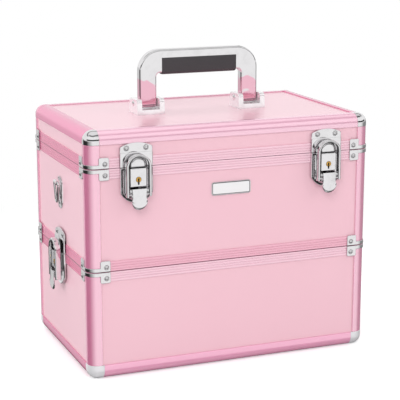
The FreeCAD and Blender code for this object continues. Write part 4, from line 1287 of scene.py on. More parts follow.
@dataclass
class CornerHardware:
    """Caps at the corners, plated except for the lid's pink rear caps, and plates at the seams, with their
    rivets.
    """

    rivet_inset: float = 22.0 * MM
    plate_sheet: float = 1.0 * MM
    rise_above: float = 5.8 * MM
    drop_below: float = 7.6 * MM
    soft_edge: float = 0.6 * MM
    lid_leg: float = 16.0 * MM
    base_leg: float = 18.0 * MM
    cap_round: float = 12.0 * MM
    cap_skin: float = 1.5 * MM
    cap_proud: float = 0.15 * MM
    cap_edge: float = 0.3 * MM

    def caps(self, node: str, level: float, up: int, rows: Sequence[Point], leg: float,
             finish: Finish, slot: str = "chrome") -> None:
        """Press the ball-cornered caps of one level.

        Args:
            node: the CAD node that they replace.
            level: height of the outer plane.
            up: 1 if the caps reach up from that plane, -1 if they reach down.
            rows: the case's front or rear planes that have caps, with their signs.
            leg: how far a cap reaches from its corner.
            finish: the caps' finish.
            slot: the record's material slot.
        """
        work = bmesh.new()
        for x, out_x in CASE.sides:
            for y, out_y in rows:
                corner = Vector((x + out_x * self.cap_proud, y + out_y * self.cap_proud,
                                 level - up * self.cap_proud))
                self.cap(work, corner, Vector((-out_x, -out_y, up)), leg + self.cap_proud)
        piece = new_piece(node + "_pressed", outwards(work), [finish])
        soften(piece, self.cap_edge, above=50.0)
        mount(piece, body_of(node), slot, node)

    def cap(self, work: Work, corner: Vector, inwards: Vector, leg: float) -> None:
        """Press one cap: a cube corner with round edges, as a thin closed shell.

        Args:
            work: mesh to add to.
            corner: the outer corner.
            inwards: signs of the way into the case.
            leg: the cap's reach.
        """
        ball = bmesh.new()
        bmesh.ops.create_cube(ball, size=leg)
        for vertex in ball.verts:
            vertex.co += Vector((leg, leg, leg)) / 2
        edges = [edge for edge in ball.edges
                 if sum(1 for i in range(3) if all(v.co[i] < leg / 2 for v in edge.verts)) == 2]
        bmesh.ops.bevel(ball, geom=edges, offset=self.cap_round, segments=10, profile=0.5, affect="EDGES")
        hidden = [face for face in ball.faces
                  if any(all(v.co[i] > leg * 0.999 for v in face.verts) for i in range(3))]
        bmesh.ops.delete(ball, geom=hidden, context="FACES")
        bmesh.ops.remove_doubles(ball, verts=ball.verts, dist=WELD)
        bmesh.ops.recalc_face_normals(ball, faces=ball.faces)
        middle = Vector((leg, leg, leg)) * 0.9
        face = ball.faces[0]
        if face.normal.dot(face.calc_center_median() - middle) < 0:
            bmesh.ops.reverse_faces(ball, faces=ball.faces)
        bmesh.ops.solidify(ball, geom=ball.faces[:], thickness=self.cap_skin)
        for vertex in ball.verts:
            vertex.co = corner + Vector([vertex.co[i] * inwards[i] for i in range(3)])
        shell = bpy.data.meshes.new("cap_shell")
        ball.to_mesh(shell)
        ball.free()
        work.from_mesh(shell)
        bpy.data.meshes.remove(shell)

    def build(self) -> None:
        """Make the caps, the plates and the rivets of all three sections."""
        for section in SECTIONS:
            softened_copy(f"{section}_corner_plates", "plated", PLATED, self.soft_edge, 3, "chrome")
        front, rear = CASE.ends
        self.caps("base_corner_caps", 0.0, 1, (front, rear), self.base_leg, CAP_SATIN)
        self.caps("lid_front_corner_caps", CASE.top, -1, (front,), self.lid_leg, PLATED)
        self.caps("lid_rear_corner_caps", CASE.top, -1, (rear,), self.lid_leg, METAL[Run.Z], "pink_metal")
        self.rivets("base", [(CASE.low_seam, -self.drop_below)])
        self.rivets("upper_box", [(CASE.low_seam, self.rise_above), (CASE.high_seam, -self.drop_below)])
        self.rivets("lid", [(CASE.high_seam, self.rise_above)])

    def rivets(self, body: str, levels: Iterable[tuple[float, float]]) -> None:
        """Rivet one section's corner plates.

        Args:
            body: CAD body of the section.
            levels: seams, and how far from the seam the rivets sit.
        """
        field = FastenerField(f"{body}_corner_rivets", body, Head.PLATE_RIVET)
        for seam, away in levels:
            for x, out_x in CASE.sides:
                for y, out_y in CASE.ends:
                    field.add(Vector((x - out_x * self.rivet_inset, y + out_y * self.plate_sheet,
                                      seam + away)), Vector((0, out_y, 0)))
                    field.add(Vector((x + out_x * self.plate_sheet, y - out_y * self.rivet_inset,
                                      seam + away)), Vector((out_x, 0, 0)))
        field.build()


# ---------------------------------------------------------------- draw latches

class LatchRow(Enum):
    """Where a pair of draw latches sits."""

    FRONT = "front"
    SIDE = "side"


@dataclass
class DrawLatches:
    """The two draw latches across one seam; sizes in millimetres, in a latch's own frame.

    That frame has its origin on the seam at the case's outer face, X to the right and -Y outwards.
    """

    where: LatchRow
    catch_node: str
    keeper_node: str
    pin_node: str
    half_gap: float = 0.15
    half: float = 20.0
    sheet: float = 1.2
    catch_shoulder: float = 24.0
    catch_rise: float = 29.0
    step_rise: float = 17.5
    step_out: float = 2.2
    boss_half: float = 9.5
    boss_rise: float = 13.0
    boss_out: float = 8.0
    keeper_shoulder: float = -30.0
    keeper_drop: float = -42.5
    rim_out: float = 2.6
    lock_half: float = 10.0
    lock_drop: float = -22.2
    lock_out: float = 9.0
    key_drop: float = -13.5
    key_radius: float = 3.2
    bore_gap: float = 0.3
    key_slot: float = 1.3
    keyhole: float = 2.0
    keyhole_drop: float = 3.0
    pivot: Point = (9.0, -27.0)
    pin_radius: float = 1.3
    ear_inner: float = 9.3
    ear_sheet: float = 2.0
    ear_radius: float = 2.7
    lever_half: float = 9.0
    lever_rows: int = 34
    lever_columns: int = 25
    crown: float = 0.35
    flare_length: float = 9.0
    waist_length: float = 18.0
    lip_arc: float = 0.96
    swell_peak: float = 3.0
    swell_spread: float = 5.5
    flange_front: float = 12.2
    flange_back: float = 6.3
    soft_edge: float = 0.4
    lip_half: float = 9.4
    lip_round: float = 8.5
    lip_swell: float = 0.6
    lip_curl: float = 1.6
    lever_out: float = 12.5
    lever_top: float = -23.9
    lever_end: float = -49.0
    flare_from: float = -34.0
    waist: float = 0.9
    spring_wire: float = 1.1
    spring_radius: float = 2.9
    lever_sheet: float = 1.5
    hoop_outer: float = 15.5
    hoop_band: float = 3.2
    hoop_depth: float = 8.0
    hoop_back: float = 4.3
    hoop_arch: float = 1.3
    hoop_foot: float = -33.6
    hoop_round: float = 1.45
    hoop_pin: Point = (9.8, -31.2)
    hoop_pin_radius: float = 1.2
    hoop_pin_inner: float = 8.6
    knob_radius: float = 2.0
    screw_x: float = 12.0
    screw_z: float = 22.6

    def place(self, hand: Hand) -> Matrix:
        """Matrix from a latch's own frame to the case.

        Args:
            hand: which latch of the row.

        Returns:
            The matrix, which takes millimetres to metres.
        """
        lever = middle_of(f"{self.where.value}_lever_{hand.word}")
        if self.where is LatchRow.FRONT:
            return millimetres_at((lever.x, CASE.front, CASE.high_seam))
        return millimetres_at((CASE.side(hand), lever.y, CASE.low_seam), hand.value * math.pi / 2)

    def build(self) -> None:
        """Make both latches of this seam, piece by piece."""
        self.catches()
        self.keepers()
        self.pins()
        self.screws()
        for hand in Hand:
            self.lever(hand)
            self.hoop(hand)
            self.lock_cylinder(hand)

    def catches(self) -> None:
        """Catch plates over the seam: arched plate, pressed step and domed boss, whose side walls take the
        dark chrome of painted shade.
        """
        work = bmesh.new()
        for hand in Hand:
            place = self.place(hand)
            pressed(work, place, arched(self.half, self.half_gap, self.catch_shoulder, self.catch_rise),
                    [(0, 0), (0, self.sheet - 0.5), (0.15, self.sheet - 0.15), (0.5, self.sheet)])
            step = rounded_box((-self.half, self.half_gap), (self.half, self.step_rise), 0.8)
            pressed(work, place, step, [(0, 0), (0, self.step_out - 0.7), (0.2, self.step_out - 0.2),
                                        (0.7, self.step_out)])
            boss = arched(self.boss_half, self.half_gap, self.boss_rise - self.boss_half, self.boss_rise, 32)
            out = self.boss_out
            # the boss's side walls take the dark chrome of painted shade
            pressed(work, place, boss, [(-0.9, self.step_out - 0.3), (-0.3, self.step_out + 0.5),
                                        (0, self.step_out + 1.4), (0.05, out - 2.2), (0.3, out - 1.2),
                                        (0.9, out - 0.45), (1.8, out - 0.1), (3.0, out)],
                    materials=(1, 1, 1, 1, 0, 0, 0, 0))
        piece = new_piece(f"{self.where.value}_catch_plates", outwards(work), [PLATED, SHADE_PAINTED_CHROME], 38.0)
        mount(piece, body_of(self.catch_node), "chrome", self.catch_node)

    def keepers(self) -> None:
        """Dished plates below the seam with a rolled rim, the lock housing and two ears."""
        work = bmesh.new()
        for hand in Hand:
            place = self.place(hand)
            dish = arched(self.half, -self.half_gap, self.keeper_shoulder, self.keeper_drop, 28)
            pressed(work, place, dish, [
                (0, 0), (0, self.rim_out - 0.9), (0.25, self.rim_out - 0.3), (0.8, self.rim_out),
                (1.3, self.rim_out - 0.25), (1.9, self.sheet + 0.5), (2.5, self.sheet + 0.05),
                (3.2, self.sheet - 0.1)])
            back, drop = self.pivot
            ear = [(0.2, drop - self.ear_radius)] + arc((back, drop), self.ear_radius, 270, 450, 16)
            ear.append((0.2, drop + self.ear_radius))
            for left in (-self.ear_inner - self.ear_sheet, self.ear_inner):
                side_slab(work, place, ear, left, left + self.ear_sheet)
            housing = self.housing(hand)
            work.from_mesh(housing)
            bpy.data.meshes.remove(housing)
        piece = new_piece(f"{self.where.value}_keeper_plates", outwards(work),
                          [PLATED, PAINTED_SHADOW_BLACK, SHADE_PAINTED_CHROME], 38.0)
        mount(piece, body_of(self.keeper_node), "chrome", self.keeper_node)

    def housing(self, hand: Hand) -> bpy.types.Mesh:
        """Lock housing with its bore and keyway; its side walls take the dark chrome of painted shade.

        Args:
            hand: which latch of the row.

        Returns:
            The housing's mesh, in its place on the case.
        """
        block = bmesh.new()
        out = self.lock_out
        outline = rounded_box((-self.lock_half, self.lock_drop), (self.lock_half, -self.half_gap), 1.0)
        # the housing's side walls take the dark chrome of painted shade
        pressed(block, self.place(hand), outline, [
            (-0.5, self.sheet - 0.4), (0, self.sheet + 0.5), (0, out - 0.9), (0.12, out - 0.4),
            (0.4, out - 0.1), (0.9, out)], materials=(2, 2, 0, 0, 0, 0))
        piece = new_piece("housing_block", outwards(block), [PLATED, PAINTED_SHADOW_BLACK, SHADE_PAINTED_CHROME])
        for cutter in self.keyway(hand):
            carve(piece, cutter)
        mesh = piece.data
        bpy.data.objects.remove(piece)
        return mesh

    def keyway(self, hand: Hand) -> list[Piece]:
        """Cutters for the lock's bore and for the slot below it; the faces that they cut take the near-black
        painted shadow.

        Args:
            hand: which latch of the row.

        Returns:
            Both cutters.
        """
        place = self.place(hand)
        bore = bmesh.new()
        centre = place @ Matrix.Translation((0, 0, self.key_drop))
        radius = self.key_radius + self.bore_gap
        turned(bore, centre, [(radius, self.lock_out - 3.0), (radius, self.lock_out + 2.0)], Run.Y, 36)
        slot = bmesh.new()
        outline = rounded_box((-self.keyhole / 2, self.key_drop - self.key_radius - self.keyhole_drop),
                              (self.keyhole / 2, self.key_drop), self.keyhole / 2 - 0.05)
        pressed(slot, place, outline, [(0, self.lock_out - 2.5), (0, self.lock_out + 1.0)])
        return [new_piece("bore_cutter", outwards(bore), [PAINTED_SHADOW_BLACK]),
                new_piece("keyway_cutter", outwards(slot), [PAINTED_SHADOW_BLACK])]

    def pins(self) -> None:
        """Lever pins with domed ends."""
        work = bmesh.new()
        reach = self.ear_inner + self.ear_sheet
        back, drop = self.pivot
        for hand in Hand:
            place = self.place(hand) @ Matrix.Translation((0, -back, drop))
            r = self.pin_radius
            half = [(r, 0.0), (r, reach), (r + 0.5, reach + 0.02), (r + 0.5, reach + 0.3),
                    (r * 0.6, reach + 0.7)]
            turned(work, place, [(radius, -along) for radius, along in reversed(half)] + half[1:])
        piece = new_piece(f"{self.where.value}_lever_pins", outwards(work), [PLATED])
        mount(piece, body_of(self.pin_node), "chrome", self.pin_node)

    def screws(self) -> None:
        """Two pan-head screws through each catch plate."""
        field = FastenerField(f"{self.where.value}_catch_screws", body_of(self.catch_node), Head.PAN_SCREW)
        for hand in Hand:
            place = self.place(hand)
            for x in (-self.screw_x, self.screw_x):
                field.add(place @ Vector((x, -self.sheet, self.screw_z)), outward(place))
        field.build()

    def lever(self, hand: Hand) -> None:
        """Finger lever: crowned plate with a round, swelling lip and a flange at each side.

        Args:
            hand: which latch of the row.
        """
        place = self.place(hand)
        work = bmesh.new()
        grid = []
        for row in range(self.lever_rows):
            level = self.lever_top + (self.lever_end - self.lever_top) * row / (self.lever_rows - 1)
            flare = self.eased((self.flare_from - level) / self.flare_length)
            pinch = math.sin(math.pi * min(1.0, (self.lever_top - level) / self.waist_length)) * (1 - flare)
            width = self.lever_half + (self.lip_half - self.lever_half) * flare - self.waist * pinch
            share = self.eased((self.flare_from - level) / (self.flare_from - self.lever_end))
            line = []
            for column in range(self.lever_columns):
                across = 2.0 * column / (self.lever_columns - 1) - 1.0
                lift = self.lip_round * (1.0 - math.sqrt(1.0 - self.lip_arc * across * across)) * share
                crown = self.crown * (1 - across ** 2)
                line.append(work.verts.new(place @ Vector((
                    width * across, -(self.lever_profile(level) + crown), level + lift))))
            grid.append(line)
        for upper, lower in zip(grid, grid[1:]):
            for a, b, c, d in zip(upper, upper[1:], lower[1:], lower):
                work.faces.new((a, b, c, d))
        bmesh.ops.recalc_face_normals(work, faces=work.faces)
        work.faces.ensure_lookup_table()
        if work.faces[0].normal.dot(outward(place)) < 0:
            bmesh.ops.reverse_faces(work, faces=work.faces)
        bmesh.ops.solidify(work, geom=work.faces[:], thickness=self.lever_sheet * MM)
        front, back = self.flange_front, self.flange_back
        flange = [(back, -24.7), (back, -33.2), (back + 0.8, -34.6), (front, -36.5), (front, -24.5)]
        edge = self.lever_half - 0.9 * self.waist
        for left in (-edge, edge - self.lever_sheet):
            side_slab(work, place, flange, left, left + self.lever_sheet)
        name = f"{self.where.value}_lever_{hand.word}"
        self.plate(name, work)
        self.spring(place, name)

    def plate(self, name: str, work: Work) -> None:
        """Finish a moving piece that replaces the CAD body of its name.

        Args:
            name: the CAD node, which is a body by itself.
            work: the working mesh.
        """
        piece = new_piece(f"{name}_plated", outwards(work), [PLATED], 42.0)
        soften(piece, self.soft_edge * MM, 3, above=60.0)
        mount(piece, name, "chrome", name)

    def spring(self, place: Matrix, body: str) -> None:
        """Torsion spring around the lever's pin, between its flanges; its coils take the near-black painted
        shadow of the gap under the lock housing.

        Args:
            place: matrix from the latch's own frame.
            body: CAD body of the lever.
        """
        back, drop = self.pivot
        half = self.lever_half - self.waist - self.lever_sheet - 0.2
        turns = int(half / self.spring_wire)
        steps = [(along + bulge * self.spring_wire, self.spring_radius - deep)
                 for along in [turn * self.spring_wire * 2 - half for turn in range(turns)]
                 for bulge, deep in ((0.1, 0.35), (0.5, 0.1), (1.0, 0.0), (1.5, 0.1), (1.9, 0.35))]
        bore = self.pin_radius + 0.25
        work = bmesh.new()
        turned(work, place @ Matrix.Translation((0, -back, drop)),
               [(bore, steps[0][0])] + [(radius, along) for along, radius in steps] + [(bore, steps[-1][0])],
               sides=24)
        piece = new_piece(f"{body}_spring", outwards(work), [PAINTED_SHADOW_BLACK], 60.0)
        mount(piece, body, "chrome")

    def lever_profile(self, level: float) -> float:
        """Section of the lever's face: flat, then swelling, then curled back.

        Args:
            level: height in the latch's own frame.

        Returns:
            How far out the face lies there.
        """
        peak = self.lever_end + self.swell_peak
        if level > peak:
            return self.lever_out + self.lip_swell * math.exp(-((level - peak) / self.swell_spread) ** 2)
        past = (peak - level) / (peak - self.lever_end)
        return self.lever_out + self.lip_swell - self.lip_curl * past ** 2

    @staticmethod
    def eased(share: float) -> float:
        """A share from 0 to 1, held at its ends and eased at both."""
        held = min(1.0, max(0.0, share))
        return held * held * (3 - 2 * held)

    def hoop(self, hand: Hand) -> None:
        """Deep rounded hoop with its two inward pins.

        Args:
            hand: which latch of the row.
        """
        place = self.place(hand)
        middle = self.hoop_outer - self.hoop_band / 2
        path = [(middle, self.hoop_foot + (self.hoop_arch - self.hoop_foot) * i / 6) for i in range(6)]
        path += arc((0.0, self.hoop_arch), middle, 0, 180, 40)
        path += [(-x, z) for x, z in reversed(path[:6])]
        half_band, half_depth = self.hoop_band / 2, self.hoop_depth / 2
        section = rounded_box((-half_band, -half_depth), (half_band, half_depth), self.hoop_round, 5)
        work = bmesh.new()
        swept(work, place, path, section, self.hoop_back + half_depth)
        out, level = self.hoop_pin
        at_pin = place @ Matrix.Translation((0, -out, level))
        thin, thick, outer = self.hoop_pin_radius, self.knob_radius, self.hoop_outer
        for side in (-1, 1):
            turned(work, at_pin, [(thin, side * self.hoop_pin_inner), (thin, side * (outer - 1.0))], sides=20)
            turned(work, at_pin, [(thick, side * (outer - 0.6)), (thick, side * outer),
                                  (thin, side * (outer + 0.35))], sides=20)
        name = f"{self.where.value}_hoop_{hand.word}"
        self.plate(name, work)

    def lock_cylinder(self, hand: Hand) -> None:
        """Brass cylinder with a ringed face and a key slot in near-black painted shadow.

        Args:
            hand: which latch of the row.
        """
        place = self.place(hand) @ Matrix.Translation((0, 0, self.key_drop))
        work = bmesh.new()
        r, out = self.key_radius, self.lock_out + 0.5
        turned(work, place, [(r, self.lock_out - 2.9), (r, out - 0.3), (r - 0.25, out), (r - 0.8, out),
                             (r - 0.95, out - 0.15), (r - 1.1, out - 0.15), (r - 1.25, out), (0.4, out)],
               Run.Y, 40)
        name = f"{self.where.value}_lock_cylinder_{hand.word}"
        piece = new_piece(f"{name}_brass", outwards(work), [BRASS, PAINTED_SHADOW_BLACK], 35.0)
        slot = bmesh.new()
        outline = rounded_box((-self.key_slot / 2, -self.key_radius - 1.0), (self.key_slot / 2, 1.2), 0.3)
        pressed(slot, place, outline, [(0, out - 2.2), (0, out + 1.0)])
        carve(piece, new_piece("key_slot_cutter", outwards(slot), [PAINTED_SHADOW_BLACK]))
        mount(piece, name, "brass", name)


# ---------------------------------------------------------------- strap rings

@dataclass
class StrapFittings:
    """Rounded plates with a saddle at both sides; the hanging rings keep their CAD wire."""

    half: float = 10.0
    rise: float = 20.5
    sheet: float = 1.5
    soft_edge: float = 0.4
    pivot_out: float = 3.7
    pivot_up: float = 13.0
    saddle_half: float = 4.5
    saddle_radius: float = 3.1
    rivets: tuple[float, ...] = (18.1, -13.0)

    def build(self) -> None:
        """Make both plates, their saddles and rivets; the rings get their finish with the plain nodes."""
        work = bmesh.new()
        field = FastenerField("strap_plate_rivets", "upper_box", Head.SMALL_RIVET)
        level = middle_of("middle_strap_brackets").z
        for hand in Hand:
            middle = middle_of(f"strap_ring_{hand.word}").y
            place = millimetres_at((CASE.side(hand), middle, level), hand.value * math.pi / 2)
            plate = rounded_box((-self.half, -self.rise), (self.half, self.rise), self.half - 0.01, 12)
            pressed(work, place, plate, [(0, -self.sheet), (0, -0.6), (0.2, -0.15), (0.7, 0),
                                         (1.6, 0.02), (2.2, 0.25), (2.8, 0.3)])
            saddle = [(-0.3, self.pivot_up - self.saddle_radius - 0.6),
                      (0.4, self.pivot_up - self.saddle_radius)]
            saddle += arc((self.pivot_out, self.pivot_up), self.saddle_radius, 270, 450, 18)
            saddle += [(0.4, self.pivot_up + self.saddle_radius),
                       (-0.3, self.pivot_up + self.saddle_radius + 0.6)]
            side_slab(work, place, saddle, -self.saddle_half, self.saddle_half)
            for up in self.rivets:
                field.add(place @ Vector((0, -0.3, up)), outward(place))
        piece = new_piece("strap_plates", outwards(work), [PLATED], 38.0)
        soften(piece, self.soft_edge * MM, 3, above=60.0)
        mount(piece, "upper_box", "chrome", "middle_strap_brackets")
        field.build()


# ---------------------------------------------------------------- handle

@dataclass
class CarryHandle:
    """Cast bow, rubber grip, and the brackets and pins that hold it."""

    soft_edge: float = 0.7 * MM
    draft: float = 0.12
    pin_head: float = 3.4
    low_round: float = 4.5
    top_round: float = 1.2
    grip_ends: tuple[Point, ...] = ((0.0, 0.9), (0.5, 0.35), (1.2, 0.08), (2.2, 0.0))

    def build(self) -> None:
        """Dress the bow and make the grip, the brackets and the pins."""
        coat(frame["nodes"]["handle_bow"].data, CAST)
        self.grip()
        work = welded_copy("lid_handle_brackets")
        low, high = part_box("lid_handle_brackets")
        for vertex in work.verts:
            share = (vertex.co.z - low.z) / (high.z - low.z)
            vertex.co.y *= 1.0 - self.draft * share
        piece = new_piece("handle_brackets_cast", work, [BRACKET])
        soften(piece, self.soft_edge, 3, above=40.0)
        mount(piece, "lid", "chrome", "lid_handle_brackets")
        self.pins()

    def grip(self) -> None:
        """Moulded grip: a crowned bar with round lower edges and soft ends."""
        low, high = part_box("handle_grip")
        middle, half = (low + high) / 2, (high - low) / 2
        work = bmesh.new()
        rings = []
        stations = [(-half.x / MM + along, drawn) for along, drawn in self.grip_ends]
        stations += [(-x, drawn) for x, drawn in reversed(stations)]
        deep, rise = half.y / MM, half.z / MM
        low_r, top_r = self.low_round, self.top_round
        section = (arc((-deep + low_r, -rise + low_r), low_r, 180, 270, 8)
                   + arc((deep - low_r, -rise + low_r), low_r, 270, 360, 8)
                   + arc((deep - top_r, rise - top_r), top_r, 0, 90, 4)
                   + arc((-deep + top_r, rise - top_r), top_r, 90, 180, 4))
        for along, drawn in stations:
            rings.append([middle + Vector((along, y, z)) * MM for y, z in inset(section, drawn)])
        loft(work, rings)
        piece = new_piece("handle_grip_moulded", outwards(work), [RUBBER], 45.0)
        mount(piece, "handle", "grip_rubber", "handle_grip")

    def pins(self) -> None:
        """Handle pins with domed heads on the outside of the cheeks."""
        low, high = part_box("lid_handle_pins")
        centre = middle_of("lid_handle_pins")
        radius = (high.z - low.z) / 2 / MM
        inner = least_x("lid_handle_pins")
        work = bmesh.new()
        for side in (-1, 1):
            ends = sorted((side * inner, side * high.x))
            for end, way in ((ends[0], -1), (ends[1], 1)):
                place = millimetres_at((end, centre.y, centre.z))
                head = self.pin_head
                turned(work, place, [(radius, -way * 4.0), (radius, 0.0), (head, way * 0.02),
                                     (head - 0.1, way * 0.5), (head * 0.6, way * 1.0), (0.4, way * 1.15)],
                       sides=32)
            place = millimetres_at(((ends[0] + ends[1]) / 2, centre.y, centre.z))
            half = (ends[1] - ends[0]) / 2 / MM - 3.0
            turned(work, place, [(radius, -half), (radius, half)], sides=32)
        piece = new_piece("handle_pins_turned", outwards(work), [PLATED], 40.0)
        mount(piece, "lid", "chrome", "lid_handle_pins")


# ---------------------------------------------------------------- nameplate

@dataclass
class BlankNameplate:
    """Blank plate on the front: silver rim, thin dark line and a white enamel field."""

    rim: float = 1.1
    line: float = 0.7

    def build(self) -> None:
        """Make the plate in one piece with three finishes."""
        low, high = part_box("middle_nameplate")
        middle = middle_of("middle_nameplate")
        half, rise = (high.x - low.x) / 2 / MM, (high.z - low.z) / 2 / MM
        out = (high.y - low.y) / MM
        place = millimetres_at((middle.x, high.y, middle.z))
        work = bmesh.new()
        a, b = self.rim, self.rim + self.line
        pressed(work, place, rounded_box((-half, -rise), (half, rise), 3.0, 8), [
            (0, 0), (0, out - 0.4), (0.12, out - 0.1), (0.4, out), (a - 0.2, out), (a, out - 0.15),
            (b, out - 0.15), (b + 0.1, out - 0.05), (b + 0.5, out - 0.02)],
            materials=[0, 0, 0, 0, 0, 1, 2, 2, 2])
        piece = new_piece("nameplate_blank", outwards(work), [PLATED, BLACK_LINE, WHITE_ENAMEL], 40.0)
        mount(piece, "upper_box", "nameplate", "middle_nameplate")


# ---------------------------------------------------------------- rear hinges

@dataclass
class RearHinges:
    """Two knuckle hinges behind, with three screws in each leaf."""

    screw_spread: float = 13.0 * MM
    screw_away: float = 12.0 * MM
    sheet: float = 1.2 * MM
    soft_edge: float = 0.3 * MM

    def build(self) -> None:
        """Make softened leaves and pins and set their screws."""
        for node in ("lid_hinge_leaves", "middle_hinge_leaves", "middle_hinge_pins"):
            softened_copy(node, "plated", PLATED, self.soft_edge, 2, "chrome")
        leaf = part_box("middle_hinge_leaves")[1].x - least_x("middle_hinge_leaves")
        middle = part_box("lid_hinge_leaves")[1].x - leaf / 2
        for body, up in (("lid", 1), ("upper_box", -1)):
            field = FastenerField(f"{body}_hinge_screws", body, Head.LEAF_SCREW)
            for side in (-1, 1):
                for step in (-1, 0, 1):
                    field.add(Vector((side * middle + step * self.screw_spread, CASE.rear + self.sheet,
                                      CASE.high_seam + up * self.screw_away)), Vector((0, 1, 0)))
            field.build()


# ---------------------------------------------------------------- inside

@dataclass
class Interior:
    """Linings, divider tray, rails and the lid's mirror."""

    board_back: float = 5.5 * MM
    lining_sheet: float = 1.2 * MM
    post_tip: float = 15.4 * MM
    rim_inner: float = 11.4 * MM
    base_frame_tip: float = 17.4 * MM
    lid_frame_tip: float = 15.4 * MM
    soft_edge: float = 0.4 * MM
    fold: float = 0.8 * MM
    rail_edge: float = 0.6 * MM
    mirror_corner: float = 6.0
    clip_inset: float = 40.0

    def build(self) -> None:
        """Line all three sections and finish the tray and the mirror."""
        self.walls("base_wall_lining", "base", self.base_frame_tip, CASE.low_seam - self.rim_inner,
                   self.base_frame_tip)
        self.walls("upper_box_wall_lining", "upper_box", CASE.low_seam + self.rim_inner,
                   CASE.high_seam - self.rim_inner, self.post_tip)
        self.walls("lid_wall_lining", "lid", CASE.high_seam + self.rim_inner,
                   CASE.top - self.lid_frame_tip, self.post_tip)
        self.ceiling()
        for node, slot, finish, edge in (
                ("base_lining", "lining", PILE, self.fold), ("middle_lining", "lining", PILE, self.fold),
                ("middle_tray", "tray_plastic", MOULDED, self.fold),
                ("middle_tray_rails", "tray_plastic", MOULDED, self.rail_edge)):
            softened_copy(node, "soft", finish, edge, 3, slot)
        self.mirror()

    def walls(self, name: str, body: str, low: float, high: float, tip: float) -> None:
        """Line the four walls of one section.

        Args:
            name: the piece's name.
            body: CAD body that carries it.
            low: lower edge of the lining.
            high: its upper edge.
            tip: distance from a corner to the lining's end.
        """
        work = bmesh.new()
        near, far = self.board_back, self.board_back + self.lining_sheet
        for x, out in CASE.sides:
            a, b = sorted((x - out * near, x - out * far))
            box_slab(work, (a, CASE.front + tip, low), (b, CASE.rear - tip, high))
        for y, out in CASE.ends:
            a, b = sorted((y - out * near, y - out * far))
            box_slab(work, (CASE.left + tip, a, low), (CASE.right - tip, b, high))
        piece = new_piece(name, outwards(work), [PILE])
        soften(piece, self.soft_edge)
        mount(piece, body, "lining")

    def ceiling(self) -> None:
        """Line the lid's underside round the mirror."""
        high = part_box("lid_mirror")[1]
        work = bmesh.new()
        tip = self.lid_frame_tip
        box_slab(work, (CASE.left + tip, CASE.front + tip, high.z - self.lining_sheet),
                 (CASE.right - tip, CASE.rear - tip, high.z))
        piece = new_piece("lid_ceiling_lining", outwards(work), [PILE])
        soften(piece, self.soft_edge)
        mount(piece, "lid", "lining")

    def mirror(self) -> None:
        """Mirror with a ground edge, held by four plated clips."""
        low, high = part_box("lid_mirror")
        middle = middle_of("lid_mirror")
        half_x, half_y = (high.x - low.x) / 2 / MM, (high.y - low.y) / 2 / MM
        sheet = (high.z - low.z) / MM
        down = Matrix.Translation((middle.x, middle.y, high.z)) @ Matrix.Rotation(math.pi / 2, 4, "X")
        place = down @ Matrix.Scale(MM, 4)
        work = bmesh.new()
        pressed(work, place, rounded_box((-half_x, -half_y), (half_x, half_y), self.mirror_corner), [
            (0, 0), (0, sheet - 0.9), (3.2, sheet - 0.02), (3.6, sheet)])
        if outward(place).z > 0:
            raise ValueError("the mirror faces up")
        piece = new_piece("lid_mirror_ground", outwards(work), [SILVERED], 6.0)
        mount(piece, "lid", "mirror_glass", "lid_mirror")
        clips = bmesh.new()
        for x, y in ((-1, -1), (-1, 1), (1, -1), (1, 1)):
            spot = place @ Matrix.Translation((x * (half_x - self.clip_inset), 0, y * (half_y + 1.0)))
            pressed(clips, spot, rounded_box((-6.0, -5.0), (6.0, 5.0), 2.0), [
                (0, 0.4), (0, sheet + 0.2), (0.3, sheet + 0.6), (0.9, sheet + 0.7)])
        mount(new_piece("mirror_clips", outwards(clips), [PLATED]), "lid", "chrome")


# ---------------------------------------------------------------- the rest, in their CAD shapes

@dataclass
class PlainNodes:
    """Nodes that keep their CAD shape and get their finish."""

    def dress(self) -> None:
        """Give each shown node the finish of its slot."""
        slots = {row["node"]: row["material_slot"] for row in frame["record"]["subparts"]}
        finishes = {"chrome": PLATED, "brass": BRASS, "grip_rubber": RUBBER, "lining": PILE,
                    "tray_plastic": MOULDED, "mirror_glass": SILVERED, "nameplate": WHITE_ENAMEL,
                    "pink_board": BOARD, "pink_metal": METAL[Run.Z], "pink_rim": RIM[Run.X]}
        for name, node in frame["nodes"].items():
            if node.hide_render or name.endswith(("_panel", "_panels")) or name == "handle_bow":
                continue
            coat(node.data, finishes[slots[name]])


# ---------------------------------------------------------------- studio

@dataclass(frozen=True)
class Softbox:
    """A square soft lamp that points at the case and that gloss doesn't show."""

    name: str
    place: tuple[float, float, float]
    size: float
    power: float
    aim_height: float = 0.15

    def hang(self) -> None:
        """Make the lamp and turn it to the case."""
        light = bpy.data.lights.new(self.name, "AREA")
        light.size = self.size
        light.energy = self.power
        lamp = add_object(self.name, light)
        lamp.visible_glossy = False
        lamp.location = self.place
        way = Vector((0, 0, self.aim_height)) - Vector(self.place)
        lamp.rotation_euler = way.to_track_quat("-Z", "Y").to_euler()


